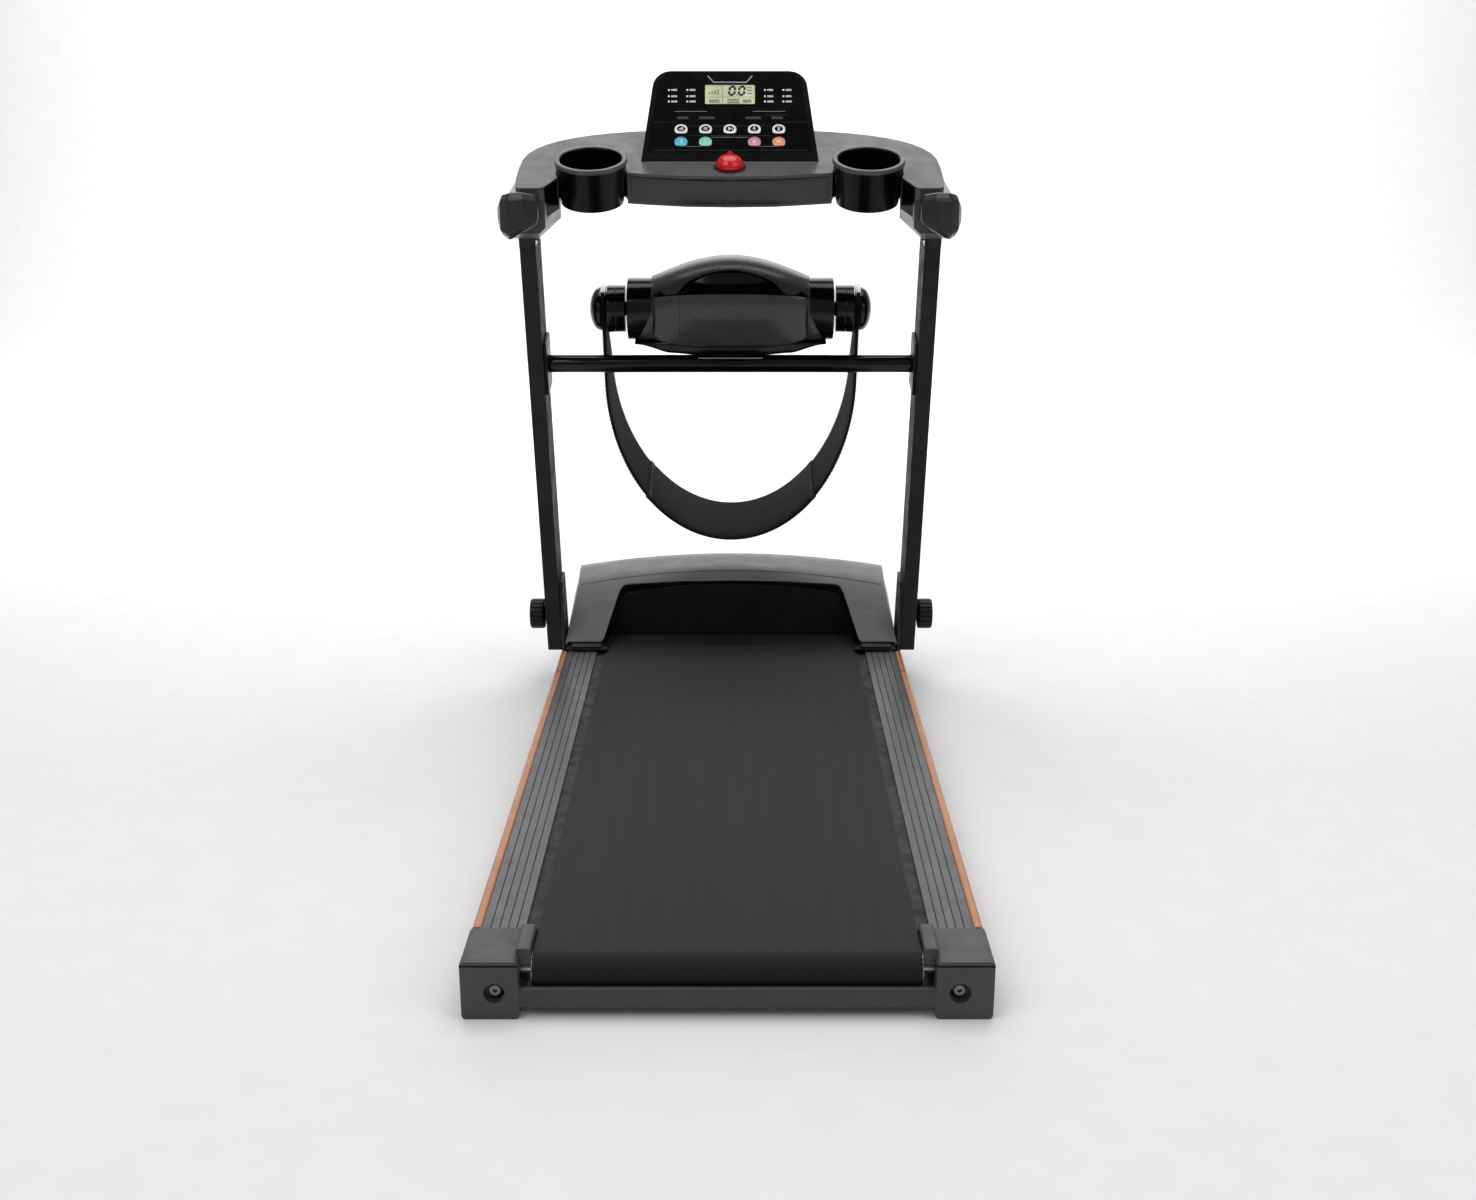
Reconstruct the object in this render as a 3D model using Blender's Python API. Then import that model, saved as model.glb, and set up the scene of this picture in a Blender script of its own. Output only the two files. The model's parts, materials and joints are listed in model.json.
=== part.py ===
"""Folding treadmill with a waist-belt massager: an assembly of named solids, in metres, +Z up.

The object stands on Z = 0 and is centred on X = 0 and Y = 0. The walker stands at -Y and faces +Y.
Every length below is measured in one of four frames, each held by an empty:
  deck     x across, y forward from the rear face of the end caps, z up from the floor
  mast     x across, y through the mast from its rear face, z up along the leaning uprights
  tray     x across, y up the slope of the console tray, z out of its top face
  panel    x across, y up the console panel, z out of the panel towards the walker
"""
from math import atan2, cos, pi, radians, sin, sqrt

import bmesh
import bpy
from mathutils import Vector

# ---- driving dimensions ----
LENGTH = 1.455
GAP = 0.0003                       # clearance between pieces that touch

# deck
FRAME_INNER = 0.272                # side tubes, half-widths
FRAME_OUTER = 0.306
FRAME_BOTTOM = 0.0185
FRAME_TOP = 0.0548
BOARD_TOP = 0.0730
ROLLER_RADIUS = 0.021
BELT_THICKNESS = 0.002
BELT_HALF_WIDTH = 0.238
ROLLER_HALF_LENGTH = 0.2388
ROLLER_Z = BOARD_TOP - ROLLER_RADIUS
REAR_ROLLER_Y = 0.0335
FRONT_ROLLER_Y = 1.300
AXLE_RADIUS = 0.007
RAIL_INNER = 0.2535
RAIL_OUTER = 0.3083
RAIL_TOP = 0.0772
CAP_LENGTH = 0.087
CAP_INNER = 0.2530
CAP_OUTER = 0.3235
CAP_HEIGHT = 0.0775
TENSION_BOLT_X = 0.2825
TENSION_BOLT_Z = 0.0348
MOTOR_Y = 1.375
MOTOR_Z = 0.086
MOTOR_RADIUS = 0.042
ROLLER_PULLEY_RADIUS = 0.030
MOTOR_PULLEY_RADIUS = 0.014
WHEEL_Y = 1.405
WHEEL_Z = 0.0245
WHEEL_RADIUS = 0.0235
SWITCH_Y = 1.4475
SWITCH_Z = 0.071

# mast
MAST_Y = 1.209
MAST_Z = 0.073
MAST_LEAN = radians(14.7)
UPRIGHT_INNER = 0.3225
UPRIGHT_OUTER = 0.3495
UPRIGHT_DEPTH = 0.075
UPRIGHT_TOP = 0.860
PIVOT_UP = 0.055                   # height of the fold pivot up the mast
CROSS_TUBE_UP = 0.5695
CROSS_TUBE_RADIUS = 0.0155
MASSAGE_DEPTH = 0.085
MASSAGE_UP = 0.6525
MASSAGE_RADIUS = 0.0535
MASSAGE_KNOB_RADIUS = 0.0405
MASSAGE_SHELL_SPLIT = 39.0         # degrees above level where the front shell meets the top one
NECK_RADIUS = 0.0122
STRAP_HALF = 0.2243                # outer half-width of the massage strap's loop
STRAP_THICKNESS = 0.0078
STRAP_BEND_UP = 0.526              # where its straight runs end and the half ellipse begins
STRAP_DROP = 0.320
STRAP_RUN = (0.6905, 0.6750, 0.6350, 0.6000, 0.5600)
STRAP_NEAR_EDGE = 0.0555
STRAP_FAR_EDGE = 0.1930
STRAP_TOP_EDGE = 0.1100

# console
TRAY_Y = 0.900
TRAY_Z = 0.9606
TRAY_TILT = radians(18.5)
TRAY_THICKNESS = 0.051
CUP_X = 0.2188
CUP_UP = 0.0120
CUP_RISE = 0.0179
CUP_RADIUS = 0.0572
KEY_UP = 0.033
PANEL_Y = 0.955
PANEL_Z = 0.9785
PANEL_TILT = radians(62.0)
BUTTON_HALF_WIDTH = 0.0103
BUTTON_HALF_HEIGHT = 0.0079
BUTTON_COLUMNS = (-0.0786, -0.0393, 0.0, 0.0393, 0.0786)
BUTTON_ROWS = (0.0572, 0.0353)

SIDES = (("left", -1.0), ("right", 1.0))


# ---- scene and materials ----
def clear_scene():
    for thing in list(bpy.data.objects):
        bpy.data.objects.remove(thing, do_unlink=True)


def finish_material(name, colour, roughness, metallic=0.0):
    surface = bpy.data.materials.new(name)
    surface.use_nodes = True
    shader = surface.node_tree.nodes["Principled BSDF"]
    shader.inputs["Base Color"].default_value = (*colour, 1.0)
    shader.inputs["Roughness"].default_value = roughness
    shader.inputs["Metallic"].default_value = metallic
    surface.diffuse_color = (*colour, 1.0)
    return surface


def make_frame(name, y, z, tilt=0.0):
    """An empty that holds one frame; y is counted from the rear face of the end caps."""
    holder = bpy.data.objects.new(name, None)
    holder.empty_display_size = 0.05
    holder.location = (0.0, y - LENGTH / 2, z)
    holder.rotation_euler = (tilt, 0.0, 0.0)
    bpy.context.scene.collection.objects.link(holder)
    return holder


def make_object(name, shape, surface, frame, pivot=(0.0, 0.0, 0.0), smooth=True):
    """Turn a bmesh into an object in a frame, with its origin at the pivot."""
    bmesh.ops.remove_doubles(shape, verts=shape.verts, dist=0.000001)
    bmesh.ops.recalc_face_normals(shape, faces=shape.faces)
    bmesh.ops.translate(shape, verts=shape.verts, vec=-Vector(pivot))
    mesh = bpy.data.meshes.new(name)
    shape.to_mesh(mesh)
    shape.free()
    mesh.materials.append(surface)
    if smooth:
        mesh.shade_smooth()
        mesh.set_sharp_from_angle(angle=radians(40))
    thing = bpy.data.objects.new(name, mesh)
    bpy.context.scene.collection.objects.link(thing)
    thing.parent = frame
    thing.location = pivot
    return thing


def combine(thing, shape, frame, label, operation="DIFFERENCE"):
    """Cut a shape out of an object, or join it on, with a hidden helper object."""
    helper = make_object(thing.name + "_" + label, shape, thing.data.materials[0], frame, smooth=False)
    helper.hide_render = True
    helper.display_type = "WIRE"
    step = thing.modifiers.new(label, "BOOLEAN")
    step.operation = operation
    step.object = helper
    step.solver = "EXACT"
    return thing


# ---- shapes ----
def add_prism(shape, outline, low, high, axis="z"):
    """Extrude an outline of (a, b) points between two heights along an axis."""
    def place(a, b, c):
        return {"x": (c, a, b), "y": (a, c, b), "z": (a, b, c)}[axis]
    bottom = [shape.verts.new(place(a, b, low)) for a, b in outline]
    top = [shape.verts.new(place(a, b, high)) for a, b in outline]
    shape.faces.new(bottom)
    shape.faces.new(top)
    for i in range(len(outline)):
        j = (i + 1) % len(outline)
        shape.faces.new((bottom[i], bottom[j], top[j], top[i]))
    return shape


def add_box(shape, low, high):
    outline = [(low[0], low[1]), (high[0], low[1]), (high[0], high[1]), (low[0], high[1])]
    return add_prism(shape, outline, low[2], high[2])


def box(low, high):
    return add_box(bmesh.new(), low, high)


def prism(outline, low, high, axis="z"):
    return add_prism(bmesh.new(), outline, low, high, axis)


def rounded_outline(low, high, radius, steps=3):
    """A rectangle whose corners are arcs."""
    corners = (
        (high[0] - radius, high[1] - radius, 0.0),
        (low[0] + radius, high[1] - radius, pi / 2),
        (low[0] + radius, low[1] + radius, pi),
        (high[0] - radius, low[1] + radius, 3 * pi / 2),
    )
    points = []
    for centre_a, centre_b, start in corners:
        for i in range(steps + 1):
            turn = start + i * pi / 2 / steps
            points.append((centre_a + radius * cos(turn), centre_b + radius * sin(turn)))
    return points


def ellipse_outline(centre, half_a, half_b, steps=20):
    return [
        (centre[0] + half_a * cos(2 * pi * i / steps), centre[1] + half_b * sin(2 * pi * i / steps))
        for i in range(steps)
    ]


def box_tube(low, high, wall, axis="y"):
    """A rectangular tube, open at both ends along an axis."""
    order = {"x": (1, 2, 0), "y": (0, 2, 1), "z": (0, 1, 2)}[axis]
    a, b, c = order
    shape = bmesh.new()
    rings = []
    for inset in (0.0, wall):
        for along in (low[c], high[c]):
            ring = []
            for sign_a, sign_b in ((0, 0), (1, 0), (1, 1), (0, 1)):
                point = [0.0, 0.0, 0.0]
                point[a] = high[a] - inset if sign_a else low[a] + inset
                point[b] = high[b] - inset if sign_b else low[b] + inset
                point[c] = along
                ring.append(shape.verts.new(point))
            rings.append(ring)
    outer_low, outer_high, inner_low, inner_high = rings
    for first, second in ((outer_low, outer_high), (inner_low, inner_high),
                          (outer_low, inner_low), (outer_high, inner_high)):
        for i in range(4):
            j = (i + 1) % 4
            shape.faces.new((first[i], first[j], second[j], second[i]))
    return shape


def lathe(stations, centre=(0.0, 0.0, 0.0), axis="x", steps=24, closed=False, flutes=0):
    """Spin (distance along the axis, radius) stations about an axis through a centre.

    A closed profile makes a ring. An open one starts and ends on the axis. Flutes wave a knob's rim.
    """
    def place(along, radius, turn):
        wave = radius * (1.0 + 0.035 * cos(flutes * turn)) if flutes and radius > 0.02 else radius
        a, b = wave * cos(turn), wave * sin(turn)
        offset = {"x": (along, a, b), "y": (a, along, b), "z": (a, b, along)}[axis]
        return Vector(centre) + Vector(offset)
    shape = bmesh.new()
    rings = []
    for along, radius in stations:
        count = steps if radius > 0.0 else 1
        rings.append([shape.verts.new(place(along, radius, 2 * pi * i / steps)) for i in range(count)])
    pairs = list(zip(rings, rings[1:]))
    if closed:
        pairs.append((rings[-1], rings[0]))
    for first, second in pairs:
        for i in range(steps):
            j = (i + 1) % steps
            if len(first) == 1:
                shape.faces.new((first[0], second[j], second[i]))
            elif len(second) == 1:
                shape.faces.new((first[i], first[j], second[0]))
            else:
                shape.faces.new((first[i], first[j], second[j], second[i]))
    return shape


def rod(low, high, radius, centre=(0.0, 0.0, 0.0), axis="x", steps=16):
    return lathe(((low, 0.0), (low, radius), (high, radius), (high, 0.0)), centre, axis, steps)


def shell(outer, inner):
    """Close the space between two grids of points that have the same rows and columns."""
    shape = bmesh.new()
    skins = [[[shape.verts.new(point) for point in row] for row in grid] for grid in (outer, inner)]
    rows, columns = len(outer), len(outer[0])
    for skin in skins:
        for i in range(rows - 1):
            for j in range(columns - 1):
                shape.faces.new((skin[i][j], skin[i][j + 1], skin[i + 1][j + 1], skin[i + 1][j]))
    edge = [(0, j) for j in range(columns)] + [(i, columns - 1) for i in range(1, rows)]
    edge += [(rows - 1, j) for j in range(columns - 2, -1, -1)] + [(i, 0) for i in range(rows - 2, 0, -1)]
    for k, (i, j) in enumerate(edge):
        m, n = edge[(k + 1) % len(edge)]
        shape.faces.new((skins[0][i][j], skins[0][m][n], skins[1][m][n], skins[1][i][j]))
    return shape


def loop_band(centres, clearance, thickness, half_widths, arc_steps=12):
    """A flat belt around two pulleys: straight runs and an arc at each, whose chords clear the pulley."""
    (first_y, first_z, first_r), (second_y, second_z, second_r) = centres
    distance = sqrt((second_y - first_y) ** 2 + (second_z - first_z) ** 2)
    heading = atan2(second_z - first_z, second_y - first_y)
    spread = (first_r - second_r) / distance
    lift = pi / 2 - spread
    rings = []
    arcs = ((first_y, first_z, first_r, heading + lift, 2 * pi - 2 * lift),
            (second_y, second_z, second_r, heading - lift, 2 * lift))
    for grow in (clearance, clearance + thickness):
        ring = []
        for centre_y, centre_z, pulley, start, sweep in arcs:
            reach = (pulley + grow) / cos(sweep / arc_steps / 2)
            for i in range(arc_steps + 1):
                turn = start + sweep * i / arc_steps
                ring.append((centre_y + reach * cos(turn), centre_z + reach * sin(turn)))
        rings.append(ring)
    shape = bmesh.new()
    loops = []
    for x, ring in ((half_widths[0], rings[0]), (half_widths[1], rings[0]),
                    (half_widths[1], rings[1]), (half_widths[0], rings[1])):
        loops.append([shape.verts.new((x, y, z)) for y, z in ring])
    for k in range(4):
        first, second = loops[k], loops[(k + 1) % 4]
        for i in range(len(first)):
            j = (i + 1) % len(first)
            shape.faces.new((first[i], first[j], second[j], second[i]))
    return shape


def mirrored(outline):
    """Add the mirror image of an outline that runs from one point on x = 0 to another."""
    return outline + [(-x, y) for x, y in reversed(outline) if x > 0.0]


def drawn_in(outline, distance):
    """Move each corner of an outline that runs clockwise inwards, square to the line past it."""
    points = []
    for i, (x, y) in enumerate(outline):
        before, after = outline[i - 1], outline[(i + 1) % len(outline)]
        along = Vector((after[0] - before[0], after[1] - before[1])).normalized()
        points.append((x + along.y * distance, y - along.x * distance))
    return points


# ---- deck ----
def build_frame(deck, steel):
    for side, sign in SIDES:
        inner, outer = sorted((sign * FRAME_INNER, sign * FRAME_OUTER))
        tube = make_object("frame_side_" + side, box_tube((inner, 0.050, FRAME_BOTTOM),
                           (outer, 1.438, FRAME_TOP), 0.002), steel, deck, smooth=False)
        low, high = sorted((sign * 0.3030, sign * 0.3070))
        hole = rod(low, high, 0.0046, (0.0, WHEEL_Y, WHEEL_Z))
        combine(tube, hole, deck, "wheel_hole")
    tube_end = CAP_INNER - GAP
    bar = rounded_outline((0.0010, 0.0135), (0.0125, 0.0405), 0.0050, 4)
    make_object("frame_cross_rear", prism(bar, -tube_end, tube_end, "x"), steel, deck)
    reach = FRAME_INNER - GAP
    make_object("frame_cross_front", box_tube((-reach, 1.4125, 0.0185), (reach, 1.4375, 0.050), 0.002, "x"),
                steel, deck, smooth=False)


def build_deck_board(deck, wood, rubber):
    make_object("deck_board", box((-0.300, 0.0895, FRAME_TOP + GAP), (0.300, 1.255, BOARD_TOP)),
                wood, deck, smooth=False)
    wheels = ((REAR_ROLLER_Y, ROLLER_Z, ROLLER_RADIUS), (FRONT_ROLLER_Y, ROLLER_Z, ROLLER_RADIUS))
    make_object("running_belt", loop_band(wheels, GAP, BELT_THICKNESS, (-BELT_HALF_WIDTH, BELT_HALF_WIDTH)),
                rubber, deck)


def build_rails(deck, rail_grey, copper):
    width = RAIL_OUTER - RAIL_INNER
    groove, depth = 0.0016, 0.0012
    for side, sign in SIDES:
        top = [(RAIL_INNER, RAIL_TOP)]
        for i in range(1, 5):
            centre = RAIL_INNER + width * i / 5
            top.append((centre - groove / 2, RAIL_TOP))
            top.append((centre, RAIL_TOP - depth))
            top.append((centre + groove / 2, RAIL_TOP))
        top += [(RAIL_OUTER, RAIL_TOP), (RAIL_OUTER, 0.022), (FRAME_OUTER + GAP, 0.022),
                (FRAME_OUTER + GAP, BOARD_TOP + GAP), (RAIL_INNER, BOARD_TOP + GAP)]
        outline = [(sign * x, z) for x, z in top]
        make_object("side_rail_" + side, prism(outline, CAP_LENGTH + GAP, 1.1740, "y"), rail_grey, deck,
                    smooth=False)
        low, high = sorted((sign * (RAIL_OUTER + GAP), sign * 0.3208))
        strip = rounded_outline((low, 0.0340), (high, 0.0788), 0.0040)
        make_object("trim_strip_" + side, prism(strip, CAP_LENGTH + GAP, 1.1740, "y"), copper, deck)


def build_end_caps(deck, cap_grey, zinc):
    for side, sign in SIDES:
        low, high = sorted((sign * CAP_INNER, sign * CAP_OUTER))
        cap = make_object("end_cap_" + side, prism(rounded_outline((low, 0.0), (high, CAP_HEIGHT), 0.0055),
                          0.0, CAP_LENGTH, "y"), cap_grey, deck)
        guide_low, guide_high = sorted((sign * 0.2394, sign * (CAP_INNER + 0.004)))
        guide = prism(rounded_outline((guide_low, 0.0620), (guide_high, 0.0850), 0.0030), 0.020, 0.084, "y")
        combine(cap, guide, deck, "belt_guide", "UNION")
        hollow_low, hollow_high = sorted((sign * (CAP_INNER + 0.0035), sign * (CAP_OUTER - 0.0035)))
        hollow = box((hollow_low, 0.0150, 0.0035), (hollow_high, CAP_LENGTH + 0.01, CAP_HEIGHT - 0.0035))
        combine(cap, hollow, deck, "hollow")
        slot_low, slot_high = sorted((sign * 0.2380, sign * (CAP_INNER + 0.0045)))
        slot = box((slot_low, 0.0240, 0.0400), (slot_high, 0.0430, 0.0615))
        combine(cap, slot, deck, "axle_slot")
        bore = rod(-0.005, 0.020, 0.0130, (sign * TENSION_BOLT_X, 0.0, TENSION_BOLT_Z), "y", 20)
        combine(cap, bore, deck, "bolt_bore")
        seam_low, seam_high = sorted((sign * (CAP_INNER - 0.001), sign * (CAP_OUTER + 0.001)))
        seam = box((seam_low, -0.001, 0.0705), (seam_high, 0.0010, 0.0730))
        combine(cap, seam, deck, "seam")
        stations = ((0.0120, 0.0), (0.0120, 0.0032), (0.0085, 0.0032), (0.0085, 0.0068), (0.0165, 0.0068),
                    (0.0165, 0.0040), (0.0520 - 0.0030, 0.0040), (0.0520 - 0.0030, 0.0))
        make_object("tension_bolt_" + side,
                    lathe(stations, (sign * TENSION_BOLT_X, 0.0, TENSION_BOLT_Z), "y", 12), zinc, deck,
                    (sign * TENSION_BOLT_X, 0.0085, TENSION_BOLT_Z))


def build_rollers(deck, steel, zinc):
    hub, bore, hollow = 0.014, AXLE_RADIUS + GAP, 0.0180
    end = ROLLER_HALF_LENGTH
    profile = ((-end, bore), (-end, ROLLER_RADIUS), (end, ROLLER_RADIUS), (end, bore),
               (end - hub, bore), (end - hub, hollow), (-end + hub, hollow), (-end + hub, bore))
    rear = (0.0, REAR_ROLLER_Y, ROLLER_Z)
    front = (0.0, FRONT_ROLLER_Y, ROLLER_Z)
    make_object("rear_roller", lathe(profile, rear, closed=True), steel, deck, rear)
    step = ROLLER_PULLEY_RADIUS
    with_pulley = ((-end, bore), (-end, ROLLER_RADIUS), (end, ROLLER_RADIUS), (0.2440, 0.0170),
                   (0.2450, step + 0.002), (0.2465, step + 0.002), (0.2466, step), (0.2634, step),
                   (0.2635, step + 0.002), (0.2650, step + 0.002), (0.2650, bore),
                   (end - hub, bore), (end - hub, hollow), (-end + hub, hollow), (-end + hub, bore))
    make_object("front_roller", lathe(with_pulley, front, closed=True, steps=28), steel, deck, front)
    axle = make_object("rear_axle", rod(-0.2890, 0.2890, AXLE_RADIUS, rear), zinc, deck)
    for side, sign in SIDES:
        low, high = sorted((sign * 0.2740, sign * 0.2905))
        block = box((low, 0.0250, 0.0240), (high, 0.0420, 0.0605))
        combine(axle, block, deck, "block_" + side, "UNION")
        hole = rod(0.020, 0.048, 0.0044, (sign * TENSION_BOLT_X, 0.0, TENSION_BOLT_Z), "y", 12)
        combine(axle, hole, deck, "bolt_hole_" + side)
    reach = FRAME_INNER - GAP
    make_object("front_axle", rod(-reach, reach, AXLE_RADIUS, front), zinc, deck)


def build_drive(deck, steel, rubber, black, green):
    centre = (0.0, MOTOR_Y, MOTOR_Z)
    stations = ((0.060, 0.0), (0.060, 0.024), (0.066, 0.036), (0.072, MOTOR_RADIUS), (0.212, MOTOR_RADIUS),
                (0.218, 0.036), (0.226, 0.020), (0.226, 0.0066), (0.208, 0.0066), (0.208, 0.0))
    motor = make_object("drive_motor", lathe(stations, centre), black, deck)
    feet = box((0.095, 1.348, 0.0178), (0.195, 1.402, 0.060))
    combine(motor, feet, deck, "feet", "UNION")
    pulley = ((0.2085, 0.0), (0.2085, 0.006), (0.2450, 0.006), (0.2450, 0.017), (0.2465, 0.017),
              (0.2466, MOTOR_PULLEY_RADIUS), (0.2634, MOTOR_PULLEY_RADIUS), (0.2635, 0.017), (0.2650, 0.017),
              (0.2650, 0.0))
    make_object("motor_pulley", lathe(pulley, centre), steel, deck, centre)
    wheels = ((FRONT_ROLLER_Y, ROLLER_Z, ROLLER_PULLEY_RADIUS), (MOTOR_Y, MOTOR_Z, MOTOR_PULLEY_RADIUS))
    make_object("drive_belt", loop_band(wheels, GAP, 0.0028, (0.2472, 0.2628)), rubber, deck)
    board = box((-0.230, 1.338, 0.0178), (-0.060, 1.410, 0.0240))
    controller = make_object("motor_controller", board, green, deck, smooth=False)
    for label, low, high in (("heat_sink", (-0.224, 1.345, 0.0230), (-0.150, 1.360, 0.0620)),
                             ("relay", (-0.140, 1.350, 0.0230), (-0.110, 1.375, 0.0440)),
                             ("reservoir", (-0.100, 1.372, 0.0230), (-0.072, 1.400, 0.0520))):
        combine(controller, box(low, high), deck, label, "UNION")


def hood_section(y):
    """Height of the hood's middle and shoulder, and its half-width at the shoulder, at one y."""
    stations = ((1.203, 0.0885, 0.0880, 0.3150), (1.250, 0.1450, 0.1270, 0.3060),
                (1.305, 0.2009, 0.1716, 0.2970), (1.340, 0.2090, 0.1830, 0.2985),
                (1.375, 0.2130, 0.1880, 0.2990), (1.405, 0.2060, 0.1820, 0.2980),
                (1.430, 0.1800, 0.1600, 0.2970), (1.446, 0.1300, 0.1200, 0.3000),
                (1.453, 0.0800, 0.0760, 0.3060), (1.455, 0.0330, 0.0325, 0.3140))
    for first, second in zip(stations, stations[1:]):
        if y <= second[0]:
            part = (y - first[0]) / (second[0] - first[0])
            return tuple(a + (b - a) * part for a, b in zip(first[1:], second[1:]))
    return stations[-1][1:]


def hood_grid(inset):
    """Rows of the hood's skin; the inner skin is drawn in by the wall."""
    places = (1.203, 1.250, 1.305, 1.330, 1.3302, 1.340, 1.375, 1.405, 1.430, 1.446, 1.453, 1.455)
    across = (-1.0, -0.8, -0.55, -0.3, 0.0, 0.3, 0.55, 0.8, 1.0)
    rows = []
    for y in places:
        middle, shoulder, half = hood_section(y)
        hem = 0.0830 if y < 1.3301 else 0.0300
        foot = 0.3155
        if inset:
            middle, shoulder, half, foot = middle - inset, shoulder - inset, half - inset, foot - inset
        shoulder = max(shoulder, hem + 0.0012)
        middle = max(middle, hem + 0.0014)
        depth = y - inset * (0.0 if y < 1.34 else min(1.0, (y - 1.34) / 0.1))
        row = [(-foot, depth, hem)]
        row += [(half * t, depth, shoulder + (middle - shoulder) * (1.0 - t * t)) for t in across]
        row.append((foot, depth, hem))
        rows.append(row)
    return rows


def build_covers(deck, gloss_grey, black):
    hood = make_object("motor_cover", shell(hood_grid(0.0), hood_grid(0.003)), gloss_grey, deck)
    arch = [(0.2447, 0.060), (0.2447, 0.088), (0.2155, 0.1685), (0.2085, 0.1752), (0.198, 0.1772),
            (0.100, 0.1840), (0.0, 0.1860)]
    outline = [(0.0, 0.060)] + arch
    combine(hood, prism(mirrored(outline), 1.150, 1.3000, "y"), deck, "arch")
    for label, low, high in (("inlet_hole", -0.2260, -0.1740), ("switch_hole", -0.1520, -0.1180)):
        combine(hood, box((low, 1.430, 0.0560), (high, 1.470, 0.0860)), deck, label)

    # black guard behind the arch, with a foot under each leg of the hood
    guard_top = [(0.236, 0.0778), (0.236, 0.120), (0.205, 0.1600), (0.100, 0.1745), (0.0, 0.1790)]
    guard = make_object("belt_guard", prism(mirrored([(0.0, 0.0778)] + guard_top), 1.2860, 1.2885, "y"),
                        black, deck, smooth=False)
    for side, sign in SIDES:
        low, high = sorted((sign * 0.2330, sign * 0.3120))
        foot = box((low, 1.1760, 0.0778), (high, 1.2600, 0.0822))
        combine(guard, foot, deck, "foot_" + side, "UNION")
        low, high = sorted((sign * 0.2330, sign * 0.2360))
        cheek = box((low, 1.2100, 0.0778), (high, 1.2880, 0.0860))
        combine(guard, cheek, deck, "cheek_" + side, "UNION")
    pan = make_object("belly_pan", box((-0.3055, 1.200, 0.0150), (0.3055, 1.440, FRAME_BOTTOM - 0.0010)),
                      black, deck, smooth=False)
    for side, sign in SIDES:
        low, high = sorted((sign * 0.2650, sign * 0.3030))
        foot = prism(rounded_outline((low, 1.270), (high, 1.340), 0.008), 0.0, 0.0160)
        combine(pan, foot, deck, "foot_" + side, "UNION")


def build_pivot_plates(deck, steel):
    for side, sign in SIDES:
        outline = [(1.190, 0.0225), (1.290, 0.0225), (1.290, 0.0700), (1.2440, 0.2150), (1.2000, 0.2070),
                   (1.1860, 0.1900), (1.2050, 0.0800)]
        low, high = sorted((sign * 0.3166, sign * (UPRIGHT_INNER - GAP)))
        plate = make_object("pivot_plate_" + side, prism(outline, low, high, "x"), steel, deck, smooth=False)
        low, high = sorted((sign * (FRAME_OUTER + GAP), sign * 0.3200))
        combine(plate, box((low, 1.190, 0.0225), (high, 1.290, 0.0505)), deck, "foot", "UNION")
        y, z = pivot_point()
        low, high = sorted((sign * 0.3150, sign * 0.3240))
        combine(plate, rod(low, high, 0.0054, (0.0, y, z)), deck, "pivot_hole")


def pivot_point():
    """Deck-frame y and z of the fold pivot, in the middle of the upright's depth."""
    y = MAST_Y + UPRIGHT_DEPTH / 2 * cos(MAST_LEAN) - PIVOT_UP * sin(MAST_LEAN)
    z = MAST_Z + UPRIGHT_DEPTH / 2 * sin(MAST_LEAN) + PIVOT_UP * cos(MAST_LEAN)
    return y, z


def build_front_fittings(deck, rubber, black):
    for side, sign in SIDES:
        stations = ((0.2990, 0.0), (0.2990, 0.0040), (0.3170, 0.0040), (0.3170, 0.0120), (0.3180, 0.0220),
                    (0.3200, WHEEL_RADIUS), (0.3320, WHEEL_RADIUS), (0.3340, 0.0220), (0.3350, 0.0120),
                    (0.3340, 0.0090), (0.3340, 0.0))
        centre = (0.0, WHEEL_Y, WHEEL_Z)
        shape = lathe([(sign * x, r) for x, r in stations], centre)
        make_object("wheel_" + side, shape, rubber, deck, (sign * 0.326, WHEEL_Y, WHEEL_Z))
    inlet = make_object("power_inlet", box((-0.2256, 1.4250, 0.0564), (-0.1744, 1.4550, 0.0856)),
                        black, deck, smooth=False)
    socket = prism(rounded_outline((-0.2120, 0.0610), (-0.1880, 0.0790), 0.003, 2), 1.4400, 1.4600, "y")
    combine(inlet, socket, deck, "socket")
    rocker = [(1.4400, SWITCH_Z - 0.0090), (1.4400, SWITCH_Z + 0.0090), (1.4490, SWITCH_Z + 0.0115),
              (1.4525, SWITCH_Z + 0.0118), (1.4512, SWITCH_Z), (1.4525, SWITCH_Z - 0.0118),
              (1.4490, SWITCH_Z - 0.0115)]
    make_object("power_switch", prism(rocker, -0.1480, -0.1220, "x"), black, deck,
                (-0.1350, SWITCH_Y, SWITCH_Z), smooth=False)


# ---- mast ----
def build_uprights(mast, tube_black, black):
    for side, sign in SIDES:
        low, high = sorted((sign * UPRIGHT_INNER, sign * UPRIGHT_OUTER))
        shape = box_tube((low, 0.0, -0.0040), (high, UPRIGHT_DEPTH, UPRIGHT_TOP), 0.002, "z")
        tube = make_object("upright_" + side, shape, tube_black, mast, smooth=False)
        centre = (0.0, UPRIGHT_DEPTH / 2, PIVOT_UP)
        low, high = sorted((sign * 0.3200, sign * 0.3520))
        combine(tube, rod(low, high, 0.0054, centre), mast, "pivot_hole")
        stations = ((0.3170, 0.0), (0.3170, 0.0048), (0.3502, 0.0048), (0.3502, 0.0130), (0.3550, 0.0130),
                    (0.3556, 0.0260), (0.3580, 0.0276), (0.3800, 0.0276), (0.3825, 0.0256), (0.3825, 0.0))
        shape = lathe([(sign * x, r) for x, r in stations], centre, steps=40, flutes=10)
        make_object("fold_knob_" + side, shape, black, mast, (sign * 0.368, centre[1], centre[2]))


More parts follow.
